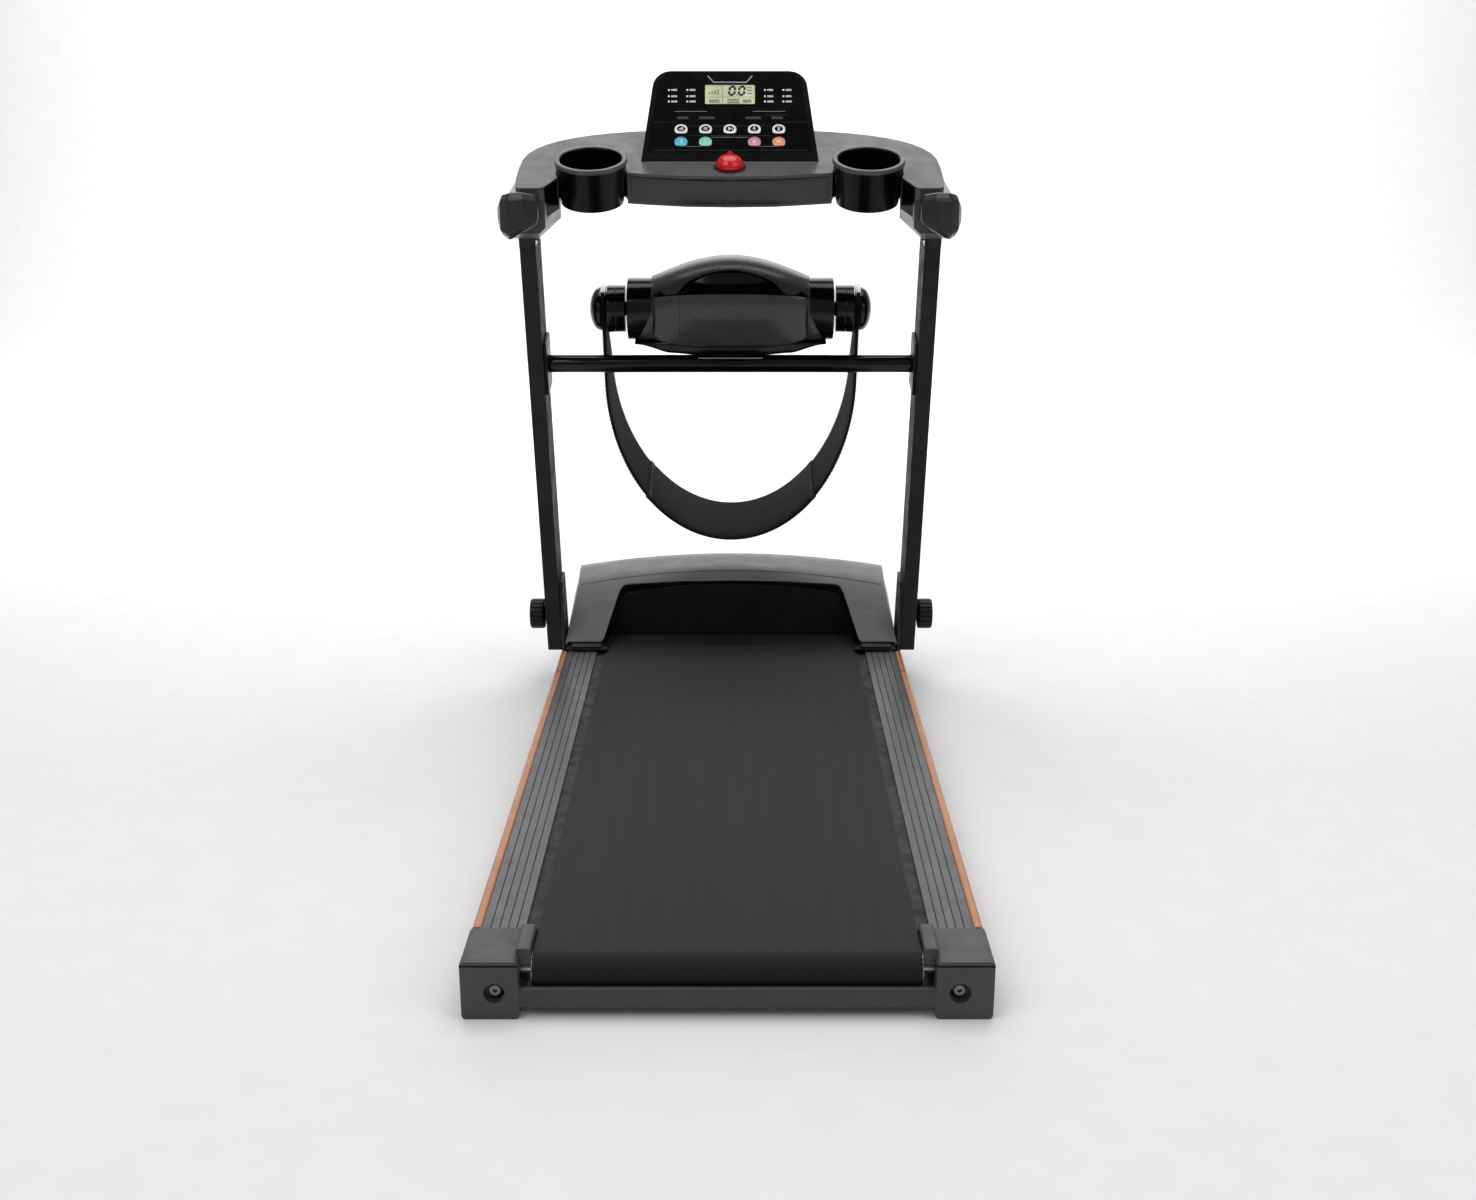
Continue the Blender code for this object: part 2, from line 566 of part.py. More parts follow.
def build_cross_tube(mast, gloss_black):
    reach = UPRIGHT_INNER - GAP
    centre = (0.0, UPRIGHT_DEPTH / 2, CROSS_TUBE_UP)
    inside, end = CROSS_TUBE_RADIUS - 0.002, reach - 0.002
    profile = ((-end, inside), (-end, CROSS_TUBE_RADIUS), (end, CROSS_TUBE_RADIUS), (end, inside))
    tube = make_object("cross_tube", lathe(profile, centre, closed=True), gloss_black, mast)
    for side, sign in SIDES:
        low, high = sorted((sign * (reach - 0.0055), sign * reach))
        plate = rounded_outline((0.0060, CROSS_TUBE_UP - 0.0480), (0.0690, CROSS_TUBE_UP + 0.0480), 0.006, 2)
        combine(tube, prism(plate, low, high, "x"), mast, "plate_" + side, "UNION")
        low, high = sorted((sign * (reach - 0.0100), sign * (reach + 0.0100)))
        combine(tube, rod(low, high, inside - 0.0005, centre, steps=24), mast, "plate_bore_" + side)


def barrel_radius(x, half, edge, middle, bulge):
    """A barrel: the edge radius at its ends and the middle radius at x = 0; bulge sets the curve between."""
    part = max(0.0, 1.0 - (x / half) ** 2)
    return edge + (middle - edge) * part ** bulge


def build_massager(mast, gloss_black, satin_black, strap_black):
    centre = (0.0, MASSAGE_DEPTH, MASSAGE_UP)
    bore, hollow = NECK_RADIUS + GAP, MASSAGE_RADIUS - 0.006
    profile = ((-0.1785, bore), (-0.1785, MASSAGE_RADIUS - 0.002), (-0.1765, MASSAGE_RADIUS),
               (0.1765, MASSAGE_RADIUS), (0.1785, MASSAGE_RADIUS - 0.002), (0.1785, bore),
               (0.1700, bore), (0.1700, hollow), (-0.1700, hollow), (-0.1700, bore))
    housing = make_object("massage_housing", lathe(profile, centre, closed=True, steps=32), gloss_black, mast)
    saddle = [(-0.1660, 0.6040), (-0.1580, 0.5950), (-0.1200, 0.5860), (0.1200, 0.5860), (0.1580, 0.5950),
              (0.1660, 0.6040)]
    combine(housing, prism(saddle, 0.0340, 0.0900, "y"), mast, "saddle", "UNION")
    combine(housing, box((-0.0600, 0.0560, 0.5560), (0.0600, 0.0900, 0.6000)), mast, "bracket", "UNION")
    seat = rod(-0.200, 0.200, CROSS_TUBE_RADIUS + GAP, (0.0, UPRIGHT_DEPTH / 2, CROSS_TUBE_UP), steps=24)
    combine(housing, seat, mast, "tube_seat")

    def cover(name, half, start, stop, peak, bulge):
        """A curved shell that wraps part of the housing, from one angle to another."""
        grids = []
        for outside in (True, False):
            rows = []
            for i in range(9):
                turn = radians(start + (stop - start) * i / 8)
                row = []
                for j in range(13):
                    x = -half + 2 * half * j / 12
                    radius = barrel_radius(x, half, MASSAGE_RADIUS + 0.0035, peak, bulge)
                    if not outside:
                        radius = max(MASSAGE_RADIUS + 0.0005, radius - 0.0040)
                    row.append((x, MASSAGE_DEPTH - radius * cos(turn), MASSAGE_UP + radius * sin(turn)))
                rows.append(row)
            grids.append(rows)
        make_object(name, shell(*grids), satin_black, mast)

    cover("massage_shell_front", 0.1337, -38.0, MASSAGE_SHELL_SPLIT, 0.0785, 0.6)
    cover("massage_shell_top", 0.1370, MASSAGE_SHELL_SPLIT + 1.0, 140.0, 0.0925, 1.2)

    neck, knob = NECK_RADIUS, MASSAGE_KNOB_RADIUS
    half = ((0.1826, neck), (0.1826, knob - 0.002), (0.1846, knob), (0.2142, knob), (0.2142, neck),
            (0.2250, neck), (0.2250, 0.0375), (0.2310, 0.0350), (0.2380, 0.0275), (0.2430, 0.0165),
            (0.2455, 0.0))
    stations = [(-x, r) for x, r in reversed(half)] + list(half)
    make_object("massage_shaft", lathe(stations, centre, steps=28), gloss_black, mast, centre)
    build_massage_belt(mast, strap_black, centre)


def strap_section(along):
    """Near and far edge of the massage strap, in depth, at a height up the mast."""
    part = max(0.0, min(1.0, (along - 0.500) / 0.150))
    part = part * part * (3 - 2 * part)
    near = STRAP_NEAR_EDGE + 0.0005 * part
    far = STRAP_FAR_EDGE + (STRAP_TOP_EDGE - STRAP_FAR_EDGE) * part
    return near, far


def build_massage_belt(mast, strap_black, centre):
    """A U-shaped strap: two straight runs from the knobs joined by half an ellipse below."""
    route = []
    for height in STRAP_RUN:
        route.append((-STRAP_HALF, height, STRAP_THICKNESS - STRAP_HALF, height))
    steps = 28
    inner_half, inner_drop = STRAP_HALF - STRAP_THICKNESS, STRAP_DROP - STRAP_THICKNESS
    for i in range(steps + 1):
        turn = pi * i / steps
        route.append((-STRAP_HALF * cos(turn), STRAP_BEND_UP - STRAP_DROP * sin(turn),
                      -inner_half * cos(turn), STRAP_BEND_UP - inner_drop * sin(turn)))
    for height in reversed(STRAP_RUN):
        route.append((STRAP_HALF, height, STRAP_HALF - STRAP_THICKNESS, height))
    outer, inner = [], []
    for out_x, out_up, in_x, in_up in route:
        near, far = strap_section(out_up)
        outer.append([(out_x, near, out_up), (out_x, far, out_up)])
        inner.append([(in_x, near, in_up), (in_x, far, in_up)])
    strap = make_object("massage_belt", shell(outer, inner), strap_black, mast, centre)
    for side, sign in SIDES:
        low, high = sorted((sign * 0.2100, sign * 0.2280))
        hole = rod(low, high, NECK_RADIUS + 0.0006, centre, steps=16)
        combine(strap, hole, mast, "hole_" + side)


# ---- console ----
def slice_off(shape, point, outward):
    """Cut a shape with a plane, drop the part on its outward side and close the cut."""
    cells = shape.verts[:] + shape.edges[:] + shape.faces[:]
    cut = bmesh.ops.bisect_plane(shape, geom=cells, plane_co=point, plane_no=outward, clear_outer=True)
    edges = [cell for cell in cut["geom_cut"] if isinstance(cell, bmesh.types.BMEdge)]
    bmesh.ops.contextual_create(shape, geom=edges)
    return shape


def trim_to(shape, half_width):
    """Keep only the part of a shape between x = -half_width and x = half_width."""
    for sign in (-1.0, 1.0):
        slice_off(shape, (sign * half_width, 0.0, 0.0), (sign, 0.0, 0.0))


def tray_outline():
    """Right half of the tray from the middle of its far edge round to the middle of its near edge."""
    half_width, far, middle, power = 0.335, 0.178, 0.030, 2.7
    points = []
    for i in range(13):
        turn = pi / 2 * i / 12
        points.append((half_width * sin(turn) ** (2 / power), middle + far * cos(turn) ** (2 / power)))
    points[0] = (0.0, middle + far)
    points += [(0.3350, -0.0200), (0.3320, -0.0500), (0.3250, -0.0560), (0.2950, -0.0560),
               (0.2880, -0.0500), (0.2720, -0.0150), (0.2560, 0.0080), (0.2250, 0.0180),
               (0.1700, 0.0110), (0.1300, 0.0040), (0.0700, -0.0045), (0.0, -0.0070)]
    return points


def build_tray(deck, mast, tray, satin_grey, gloss_black):
    outline = mirrored(tray_outline())
    wall, solid_from = 0.0035, 0.286
    body = make_object("console_tray", prism(outline, -TRAY_THICKNESS, 0.0), satin_grey, tray)
    hollow = prism(drawn_in(outline, wall), -TRAY_THICKNESS - 0.010, -wall)
    trim_to(hollow, solid_from)
    combine(body, hollow, tray, "hollow")
    floor = prism(drawn_in(outline, wall + GAP), -TRAY_THICKNESS, -TRAY_THICKNESS + 0.0030)
    trim_to(floor, solid_from - GAP)
    underside = make_object("console_underside", floor, gloss_black, tray)
    cheek = [(0.8462, 0.874), (0.985, 0.856), (1.084, 0.882), (1.088, 0.925), (1.050, 0.950), (0.900, 0.926),
             (0.8462, 0.920)]
    for side, sign in SIDES:
        low, high = sorted((sign * (solid_from + 0.0005), sign * 0.3535))
        socket = slice_off(prism(cheek, low, high, "x"), (sign * 0.2938, 0.0, 0.8758), (-sign, 0.0, -1.0))
        combine(body, socket, deck, "socket_" + side, "UNION")
    for side, sign in SIDES:
        low, high = sorted((sign * (UPRIGHT_INNER - 0.0004), sign * (UPRIGHT_OUTER + 0.0004)))
        pocket = box((low, -0.0004, 0.700), (high, UPRIGHT_DEPTH + 0.0004, UPRIGHT_TOP + 0.0004))
        combine(body, pocket, mast, "pocket_" + side)
        for piece in (body, underside):
            cup_hole = rod(-0.100, 0.020, CUP_RADIUS - 0.0010, (sign * CUP_X, CUP_UP, 0.0), "z", 32)
            combine(piece, cup_hole, tray, "cup_hole_" + side)
    combine(body, rod(-0.020, 0.010, 0.0080, (0.0, KEY_UP, 0.0), "z", 16), tray, "key_hole")

    bottom, top = -0.066 + CUP_RISE, 0.004 + CUP_RISE
    for side, sign in SIDES:
        stations = ((bottom, 0.0), (bottom, 0.0480), (bottom + 0.003, 0.0510), (top - 0.002, CUP_RADIUS),
                    (top, CUP_RADIUS - 0.002), (top, 0.0505), (top - 0.004, 0.0485), (bottom + 0.010, 0.0465),
                    (bottom + wall, 0.0420), (bottom + wall, 0.0))
        make_object("cup_holder_" + side, lathe(stations, (sign * CUP_X, CUP_UP, 0.0), "z", 32),
                    gloss_black, tray)


def build_grips(deck, rubber):
    """A faceted pod on the end of each arm; each corner has its own lowest and highest point."""
    corners = ((0.3535, 0.8455, 0.8780, 0.9330), (0.3570, 0.8200, 0.8880, 0.9250),
               (0.3490, 0.7900, 0.8740, 0.9360), (0.3350, 0.7750, 0.8680, 0.9395),
               (0.3130, 0.7700, 0.8800, 0.9400), (0.2920, 0.8000, 0.8900, 0.9350),
               (0.2960, 0.8455, 0.8870, 0.9326))
    middle_x, middle_y = 0.3250, 0.8455
    layers = ((2, 0.0, 0.14), (2, 0.0080, 0.0), (3, -0.0100, 0.0), (3, 0.0, 0.14))
    count = len(corners)
    for side, sign in SIDES:
        grip = bmesh.new()
        rings = []
        for level, lift, inset in layers:
            ring = []
            for corner in corners:
                x = corner[0] + (middle_x - corner[0]) * inset
                y = corner[1] + (middle_y - corner[1]) * inset
                ring.append(grip.verts.new((sign * x, y, corner[level] + lift)))
            rings.append(ring)
        grip.faces.new(rings[0])
        grip.faces.new(rings[-1])
        for first, second in zip(rings, rings[1:]):
            for i in range(count):
                j = (i + 1) % count
                grip.faces.new((first[i], first[j], second[j], second[i]))
        make_object("hand_grip_" + side, grip, rubber, deck, smooth=False)


def panel_outline(inset_side, inset_top, low):
    """The console panel: a trapezoid whose two top corners are arcs; inset makes a smaller one."""
    bottom_half, top_half, height, radius = 0.1425, 0.1235, 0.1590, 0.0300
    right = []
    bottom_half, top_half, height = bottom_half - inset_side, top_half - inset_side, height - inset_top
    lean = (bottom_half - top_half) / height
    right.append((bottom_half - lean * low, low))
    radius -= inset_top
    for i in range(6):
        turn = pi / 2 * i / 5
        right.append((top_half + lean * radius * 0.6 - radius + radius * cos(turn),
                      height - radius + radius * sin(turn)))
    return right + [(-x, y) for x, y in reversed(right)]


def build_console(tray, panel, gloss_black, face_black, lens):
    depth, recess = 0.044, 0.0070
    housing = make_object("console_housing", prism(panel_outline(0.0, 0.0, -0.004), -depth, 0.0),
                          gloss_black, panel)
    combine(housing, box((-0.200, -0.200, -0.200), (0.200, 0.300, GAP)), tray, "base_cut")
    combine(housing, prism(panel_outline(0.0085, 0.0040, 0.0150), -recess, 0.010), panel, "recess")
    combine(housing, prism(panel_outline(0.0040, 0.0040, -0.0500), 0.0030 - depth, -0.0105), panel, "hollow")
    face = make_object("console_face", prism(panel_outline(0.0088, 0.0043, 0.0153), -0.0026, -0.0004),
                       face_black, panel, smooth=False)
    window_low, window_high = (-0.0413, 0.1000), (0.0413, 0.1359)
    combine(face, box((window_low[0], window_low[1], -0.010), (window_high[0], window_high[1], 0.010)),
            panel, "window")
    make_object("display_window", box((window_low[0] + GAP, window_low[1] + GAP, -0.0030),
                (window_high[0] - GAP, window_high[1] - GAP, -0.0008)), lens, panel, smooth=False)
    return face


def button_places():
    """Name and centre of each button: five in the upper row and four in the lower one."""
    names = ("program", "mode", "start", "faster", "slower")
    places = [("button_" + name, x, BUTTON_ROWS[0]) for name, x in zip(names, BUTTON_COLUMNS)]
    lower = ("speed_low", "speed_mid", "speed_high", "massage")
    columns = [x for x in BUTTON_COLUMNS if x != 0.0]
    places += [("button_" + name, x, BUTTON_ROWS[1]) for name, x in zip(lower, columns)]
    return places


def build_buttons(panel, face, finishes):
    for name, x, up in button_places():
        hole = prism(ellipse_outline((x, up), BUTTON_HALF_WIDTH + 0.0004, BUTTON_HALF_HEIGHT + 0.0004, 20),
                     -0.010, 0.010)
        combine(face, hole, panel, name + "_hole")
        cap = bmesh.new()
        rings = []
        for height, scale in ((-0.0050, 1.0), (0.0008, 1.0), (0.0014, 0.90)):
            outline = ellipse_outline((x, up), BUTTON_HALF_WIDTH * scale, BUTTON_HALF_HEIGHT * scale, 20)
            rings.append([cap.verts.new((a, b, height)) for a, b in outline])
        cap.faces.new(rings[0])
        cap.faces.new(rings[-1])
        for first, second in zip(rings, rings[1:]):
            for i in range(20):
                j = (i + 1) % 20
                cap.faces.new((first[i], first[j], second[j], second[i]))
        make_object(name, cap, finishes[name], panel, (x, up, 0.0))


def build_safety_key(tray, red):
    stations = ((-0.0120, 0.0), (-0.0120, 0.0074), (0.0004, 0.0074), (0.0004, 0.0205), (0.0030, 0.0222),
                (0.0090, 0.0212), (0.0150, 0.0170), (0.0195, 0.0100), (0.0212, 0.0))
    centre = (0.0, KEY_UP, 0.0)
    make_object("safety_key", lathe(stations, centre, "z", 24), red, tray, centre)


def main():
    clear_scene()
    deck = make_frame("deck_frame", 0.0, 0.0)
    mast = make_frame("mast_frame", MAST_Y, MAST_Z, MAST_LEAN)
    tray = make_frame("tray_frame", TRAY_Y, TRAY_Z, TRAY_TILT)
    panel = make_frame("panel_frame", PANEL_Y, PANEL_Z, PANEL_TILT)

    steel = finish_material("painted_steel", (0.030, 0.031, 0.033), 0.45, 0.3)
    tube_black = finish_material("upright_paint", (0.040, 0.041, 0.043), 0.55, 0.2)
    zinc = finish_material("zinc", (0.45, 0.45, 0.47), 0.35, 1.0)
    wood = finish_material("deck_board_black", (0.012, 0.012, 0.012), 0.60)
    belt = finish_material("belt_rubber", (0.030, 0.031, 0.033), 0.80)
    rail_grey = finish_material("rail_plastic", (0.150, 0.150, 0.160), 0.50)
    copper = finish_material("trim_copper", (0.620, 0.280, 0.130), 0.35, 0.4)
    cap_grey = finish_material("cap_plastic", (0.075, 0.077, 0.080), 0.50)
    gloss_grey = finish_material("hood_plastic", (0.110, 0.112, 0.118), 0.25)
    black = finish_material("black_plastic", (0.010, 0.010, 0.011), 0.40)
    gloss_black = finish_material("gloss_black_plastic", (0.008, 0.008, 0.009), 0.15)
    satin_black = finish_material("satin_black_plastic", (0.030, 0.030, 0.032), 0.30)
    satin_grey = finish_material("tray_plastic", (0.120, 0.121, 0.126), 0.45)
    rubber = finish_material("soft_rubber", (0.025, 0.025, 0.027), 0.60)
    strap = finish_material("strap_webbing", (0.018, 0.018, 0.019), 0.80)
    green = finish_material("circuit_board", (0.020, 0.120, 0.050), 0.50)
    lens = finish_material("display_glass", (0.560, 0.610, 0.390), 0.20)
    red = finish_material("key_red", (0.620, 0.010, 0.012), 0.30)
    white = finish_material("button_white", (0.700, 0.700, 0.680), 0.40)
    blue = finish_material("button_blue", (0.150, 0.560, 0.640), 0.40)
    mint = finish_material("button_mint", (0.380, 0.750, 0.600), 0.40)
    pink = finish_material("button_pink", (0.680, 0.300, 0.450), 0.40)
    orange = finish_material("button_orange", (0.820, 0.400, 0.180), 0.40)

    build_frame(deck, steel)
    build_deck_board(deck, wood, belt)
    build_rails(deck, rail_grey, copper)
    build_end_caps(deck, cap_grey, zinc)
    build_rollers(deck, zinc, zinc)
    build_drive(deck, zinc, belt, black, green)
    build_covers(deck, gloss_grey, black)
    build_pivot_plates(deck, steel)
    build_front_fittings(deck, rubber, black)
    build_uprights(mast, tube_black, black)
    build_cross_tube(mast, gloss_black)
    build_massager(mast, gloss_black, satin_black, strap)
    build_tray(deck, mast, tray, satin_grey, gloss_black)
    build_grips(deck, rubber)
    face = build_console(tray, panel, gloss_black, black, lens)
    finishes = {name: white for name, _, _ in button_places()}
    finishes.update({"button_speed_low": blue, "button_speed_mid": mint,
                     "button_speed_high": pink, "button_massage": orange})
    build_buttons(panel, face, finishes)
    build_safety_key(tray, red)


main()
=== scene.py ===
"""Looks of a folding treadmill with a waist-strap massager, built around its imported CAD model.

Four local frames are used, as in the CAD: deck (level), mast, tray and panel (each turned about X).
In every one x is across, the second number runs away from the walker or up the slope, and the third is up.
"""
import json
from math import cos, pi, radians, sin

import bmesh
import bpy
import numpy as np
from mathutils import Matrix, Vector

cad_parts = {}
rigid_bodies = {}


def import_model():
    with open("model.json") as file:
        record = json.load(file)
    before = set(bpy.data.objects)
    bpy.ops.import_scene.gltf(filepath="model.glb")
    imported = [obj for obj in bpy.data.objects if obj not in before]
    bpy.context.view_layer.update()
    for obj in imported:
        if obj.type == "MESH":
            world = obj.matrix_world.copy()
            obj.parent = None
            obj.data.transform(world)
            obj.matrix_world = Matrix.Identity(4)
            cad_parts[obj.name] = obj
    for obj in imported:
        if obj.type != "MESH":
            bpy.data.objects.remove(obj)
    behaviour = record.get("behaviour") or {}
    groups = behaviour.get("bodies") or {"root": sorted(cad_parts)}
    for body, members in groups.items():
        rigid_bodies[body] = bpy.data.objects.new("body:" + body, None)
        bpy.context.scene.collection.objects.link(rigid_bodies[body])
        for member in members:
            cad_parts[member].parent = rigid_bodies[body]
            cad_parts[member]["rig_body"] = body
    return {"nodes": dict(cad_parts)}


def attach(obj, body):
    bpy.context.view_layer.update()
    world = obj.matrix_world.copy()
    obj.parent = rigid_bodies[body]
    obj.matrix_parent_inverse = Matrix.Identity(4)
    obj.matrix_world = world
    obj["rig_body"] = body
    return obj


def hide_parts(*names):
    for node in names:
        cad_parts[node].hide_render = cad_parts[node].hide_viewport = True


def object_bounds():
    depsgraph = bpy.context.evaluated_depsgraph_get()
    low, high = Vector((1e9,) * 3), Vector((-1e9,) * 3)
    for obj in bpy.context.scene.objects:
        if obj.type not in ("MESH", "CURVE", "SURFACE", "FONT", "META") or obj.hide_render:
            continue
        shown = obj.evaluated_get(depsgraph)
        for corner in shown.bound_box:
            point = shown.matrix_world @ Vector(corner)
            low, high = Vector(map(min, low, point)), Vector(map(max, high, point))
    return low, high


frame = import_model()
CAD_LOW, CAD_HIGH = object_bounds()

# ---- places: origin of each frame and its turn about X ----
REAR = CAD_LOW.y                                  # rear face of the end caps
DECK = ((0.0, REAR, 0.0), 0.0)
MAST = ((0.0, REAR + 1.209, 0.073), radians(14.7))
TRAY = ((0.0, REAR + 0.900, 0.9606), radians(18.5))
PANEL = ((0.0, REAR + 0.955, 0.9785), radians(62.0))
SIDES = (("left", -1.0), ("right", 1.0))

MASSAGE_DEPTH, MASSAGE_UP = 0.085, 0.6525         # axis of the massager in the mast frame
HOUSING_RADIUS = 0.0535
TUBE_DEPTH, TUBE_UP = 0.0375, 0.5695
STRAP_HALF, STRAP_THICKNESS = 0.2243, 0.0078
STRAP_BEND_UP, STRAP_DROP = 0.526, 0.320
STRAP_TOP = 0.6905


# ---- arrays ----
def put(place, points):
    """Turn points (..., 3) of a local frame about X by its tilt and shift them to its origin."""
    origin, tilt = place
    points = np.asarray(points, float)
    x, depth, up = points[..., 0], points[..., 1], points[..., 2]
    turned = np.stack([x, depth * cos(tilt) - up * sin(tilt), depth * sin(tilt) + up * cos(tilt)], -1)
    return turned + np.array(origin)


def grid_faces(rows, columns, wrap_rows=False, wrap_columns=False):
    """Quads between neighbouring points of a grid, wrapped round in either direction if asked."""
    index = np.arange(rows * columns).reshape(rows, columns)
    if wrap_rows:
        index = np.vstack([index, index[:1]])
    if wrap_columns:
        index = np.hstack([index, index[:, :1]])
    corners = (index[:-1, :-1], index[:-1, 1:], index[1:, 1:], index[1:, :-1])
    return np.stack(corners, -1).reshape(-1, 4).tolist()


def curve_through(where, stations, values):
    """Smooth curve through stations: cubic pieces whose slope at a station is that of its neighbours."""
    stations, values = np.asarray(stations, float), np.asarray(values, float)
    slopes = np.gradient(values, stations)
    i = np.clip(np.searchsorted(stations, where) - 1, 0, len(stations) - 2)
    span = stations[i + 1] - stations[i]
    t = np.clip((where - stations[i]) / span, 0.0, 1.0)
    start = values[i] * (1 + 2 * t) * (1 - t) ** 2 + slopes[i] * span * t * (1 - t) ** 2
    return start + values[i + 1] * t * t * (3 - 2 * t) - slopes[i + 1] * span * t * t * (1 - t)


def smooth_step(value, low, high):
    """0 below low, 1 above high, and an even S between."""
    t = np.clip((np.asarray(value, float) - low) / (high - low), 0.0, 1.0)
    return t * t * (3 - 2 * t)


def fillet(corners, radius, steps=4, closed=True):
    """Round each corner of an outline: a parabola between the points one radius away along its two sides."""
    corners = np.asarray(corners, float)
    before, after = np.roll(corners, 1, 0), np.roll(corners, -1, 0)

    def towards(other):
        """Point one radius from each corner on the way to another, at most 0.48 of the way."""
        gap = other - corners
        length = np.linalg.norm(gap, axis=1, keepdims=True)
        return corners + gap * np.minimum(radius / np.maximum(length, 1e-9), 0.48)

    start, end = towards(before), towards(after)
    if not closed:
        start[0], end[0] = corners[0], corners[0]
        start[-1], end[-1] = corners[-1], corners[-1]
    t = np.linspace(0.0, 1.0, steps + 1)[None, :, None]
    points = start[:, None] * (1 - t) ** 2 + 2 * corners[:, None] * t * (1 - t) + end[:, None] * t ** 2
    points = points.reshape(-1, corners.shape[1])
    keep = np.ones(len(points), bool)
    keep[1:] = np.linalg.norm(np.diff(points, axis=0), axis=1) > 1e-7
    return points[keep]


def ellipse(centre, half_x, half_y, steps=48):
    """Closed outline: the centre plus half_x times the cosine and half_y times the sine of each turn."""
    turn = np.linspace(0, 2 * pi, steps, endpoint=False)
    return np.stack([centre[0] + half_x * np.cos(turn), centre[1] + half_y * np.sin(turn)], -1)


# ---- pieces ----
def make_piece(name, points, faces, finish, body, sharp=40.0, replaced=()):
    """A mesh whose place is in its points; it rides on a body and may stand for CAD nodes."""
    mesh = bpy.data.meshes.new(name)
    mesh.from_pydata(np.asarray(points, float).reshape(-1, 3).tolist(), [], faces)
    shape = bmesh.new()
    shape.from_mesh(mesh)
    bmesh.ops.remove_doubles(shape, verts=shape.verts, dist=1e-6)
    bmesh.ops.recalc_face_normals(shape, faces=shape.faces)
    shape.to_mesh(mesh)
    shape.free()
    mesh.materials.append(finish)
    mesh.shade_smooth()
    mesh.set_sharp_from_angle(angle=radians(sharp))
    piece = bpy.data.objects.new(name, mesh)
    bpy.context.scene.collection.objects.link(piece)
    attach(piece, body)
    if replaced:
        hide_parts(*replaced)
    return piece


def tube_faces(rows, columns):
    """Faces of a stack of closed rings with a flat face on the first and the last ring."""
    first = list(range(columns))
    last = [(rows - 1) * columns + i for i in range(columns)]
    return grid_faces(rows, columns, wrap_columns=True) + [first, last]


def lathe(stations, centre, axis="x", steps=96, flutes=0, depth=0.0):
    """Rings of radius r at a distance along an axis; flutes dent each ring where r is large."""
    stations = np.asarray(stations, float)
    turn = np.linspace(0, 2 * pi, steps, endpoint=False)
    along = np.repeat(stations[:, :1], steps, 1)
    radius = np.repeat(stations[:, 1:2], steps, 1)
    if flutes:
        dent = depth * np.maximum(0.0, np.cos(flutes * turn)) ** 3
        radius = radius - dent[None, :] * (stations[:, 1:2] > 0.8 * stations[:, 1].max())
    a, b = radius * np.cos(turn), radius * np.sin(turn)
    order = {"x": (along, a, b), "y": (a, along, b), "z": (a, b, along)}[axis]
    return np.stack(order, -1) + np.asarray(centre, float)


def lathe_piece(name, stations, centre, place, finish, body, slot, radius=0.0015, **settings):
    """A turned piece: its profile's corners are rounded, and it starts and ends on its axis."""
    replaced = settings.pop("replaced", ())
    profile = fillet(stations, radius, closed=False)
    points = put(place, lathe(profile, centre, **settings))
    return make_piece(name, points, tube_faces(*points.shape[:2]), finish, body, replaced=replaced)


def slab(outline, low, high, edge, axis="z"):
    """Rings of an outline from low to high; near both ends it is drawn in along a quarter circle."""
    outline = np.asarray(outline, float)
    along = np.roll(outline, -1, 0) - np.roll(outline, 1, 0)
    normal = np.stack([along[:, 1], -along[:, 0]], -1)
    normal /= np.maximum(np.linalg.norm(normal, axis=1, keepdims=True), 1e-9)
    shifted = np.roll(outline, -1, 0)
    if np.sum(outline[:, 0] * shifted[:, 1] - shifted[:, 0] * outline[:, 1]) < 0:
        normal = -normal
    turn = np.linspace(0, pi / 2, 4)
    inset = edge * (1 - np.sin(turn))
    rise = edge * (1 - np.cos(turn))
    insets = np.concatenate([inset, inset[::-1]])
    heights = np.concatenate([low + rise, high - rise[::-1]])
    ring = outline[None] - normal[None] * insets[:, None, None]
    height = np.repeat(heights[:, None], len(outline), 1)
    order = {"x": (height, ring[..., 0], ring[..., 1]), "y": (ring[..., 0], height, ring[..., 1]),
             "z": (ring[..., 0], ring[..., 1], height)}[axis]
    return np.stack(order, -1)


def slab_piece(name, outline, low, high, edge, axis, place, finish, body, replaced=()):
    """A flat piece: an outline pushed from low to high along an axis, with rounded edges."""
    points = put(place, slab(outline, low, high, edge, axis))
    return make_piece(name, points, tube_faces(*points.shape[:2]), finish, body, 35.0, replaced)


def box_outline(low, high, radius=0.001):
    """Rectangle between two corners, with its four corners rounded."""
    return fillet([(low[0], low[1]), (high[0], low[1]), (high[0], high[1]), (low[0], high[1])], radius)


def many_slabs(name, outlines, low, high, place, finish, body):
    """Several thin flat marks in one piece."""
    points, faces, count = [], [], 0
    for outline in outlines:
        outline = np.asarray(outline, float)
        size = len(outline)
        for height in (low, high):
            points.append(np.hstack([outline, np.full((size, 1), height)]))
        faces += (np.array(grid_faces(2, size, wrap_columns=True)) + count).tolist()
        faces += [[count + i for i in range(size)], [count + size + i for i in range(size)]]
        count += 2 * size
    return make_piece(name, put(place, np.vstack(points)), faces, finish, body, 20.0)


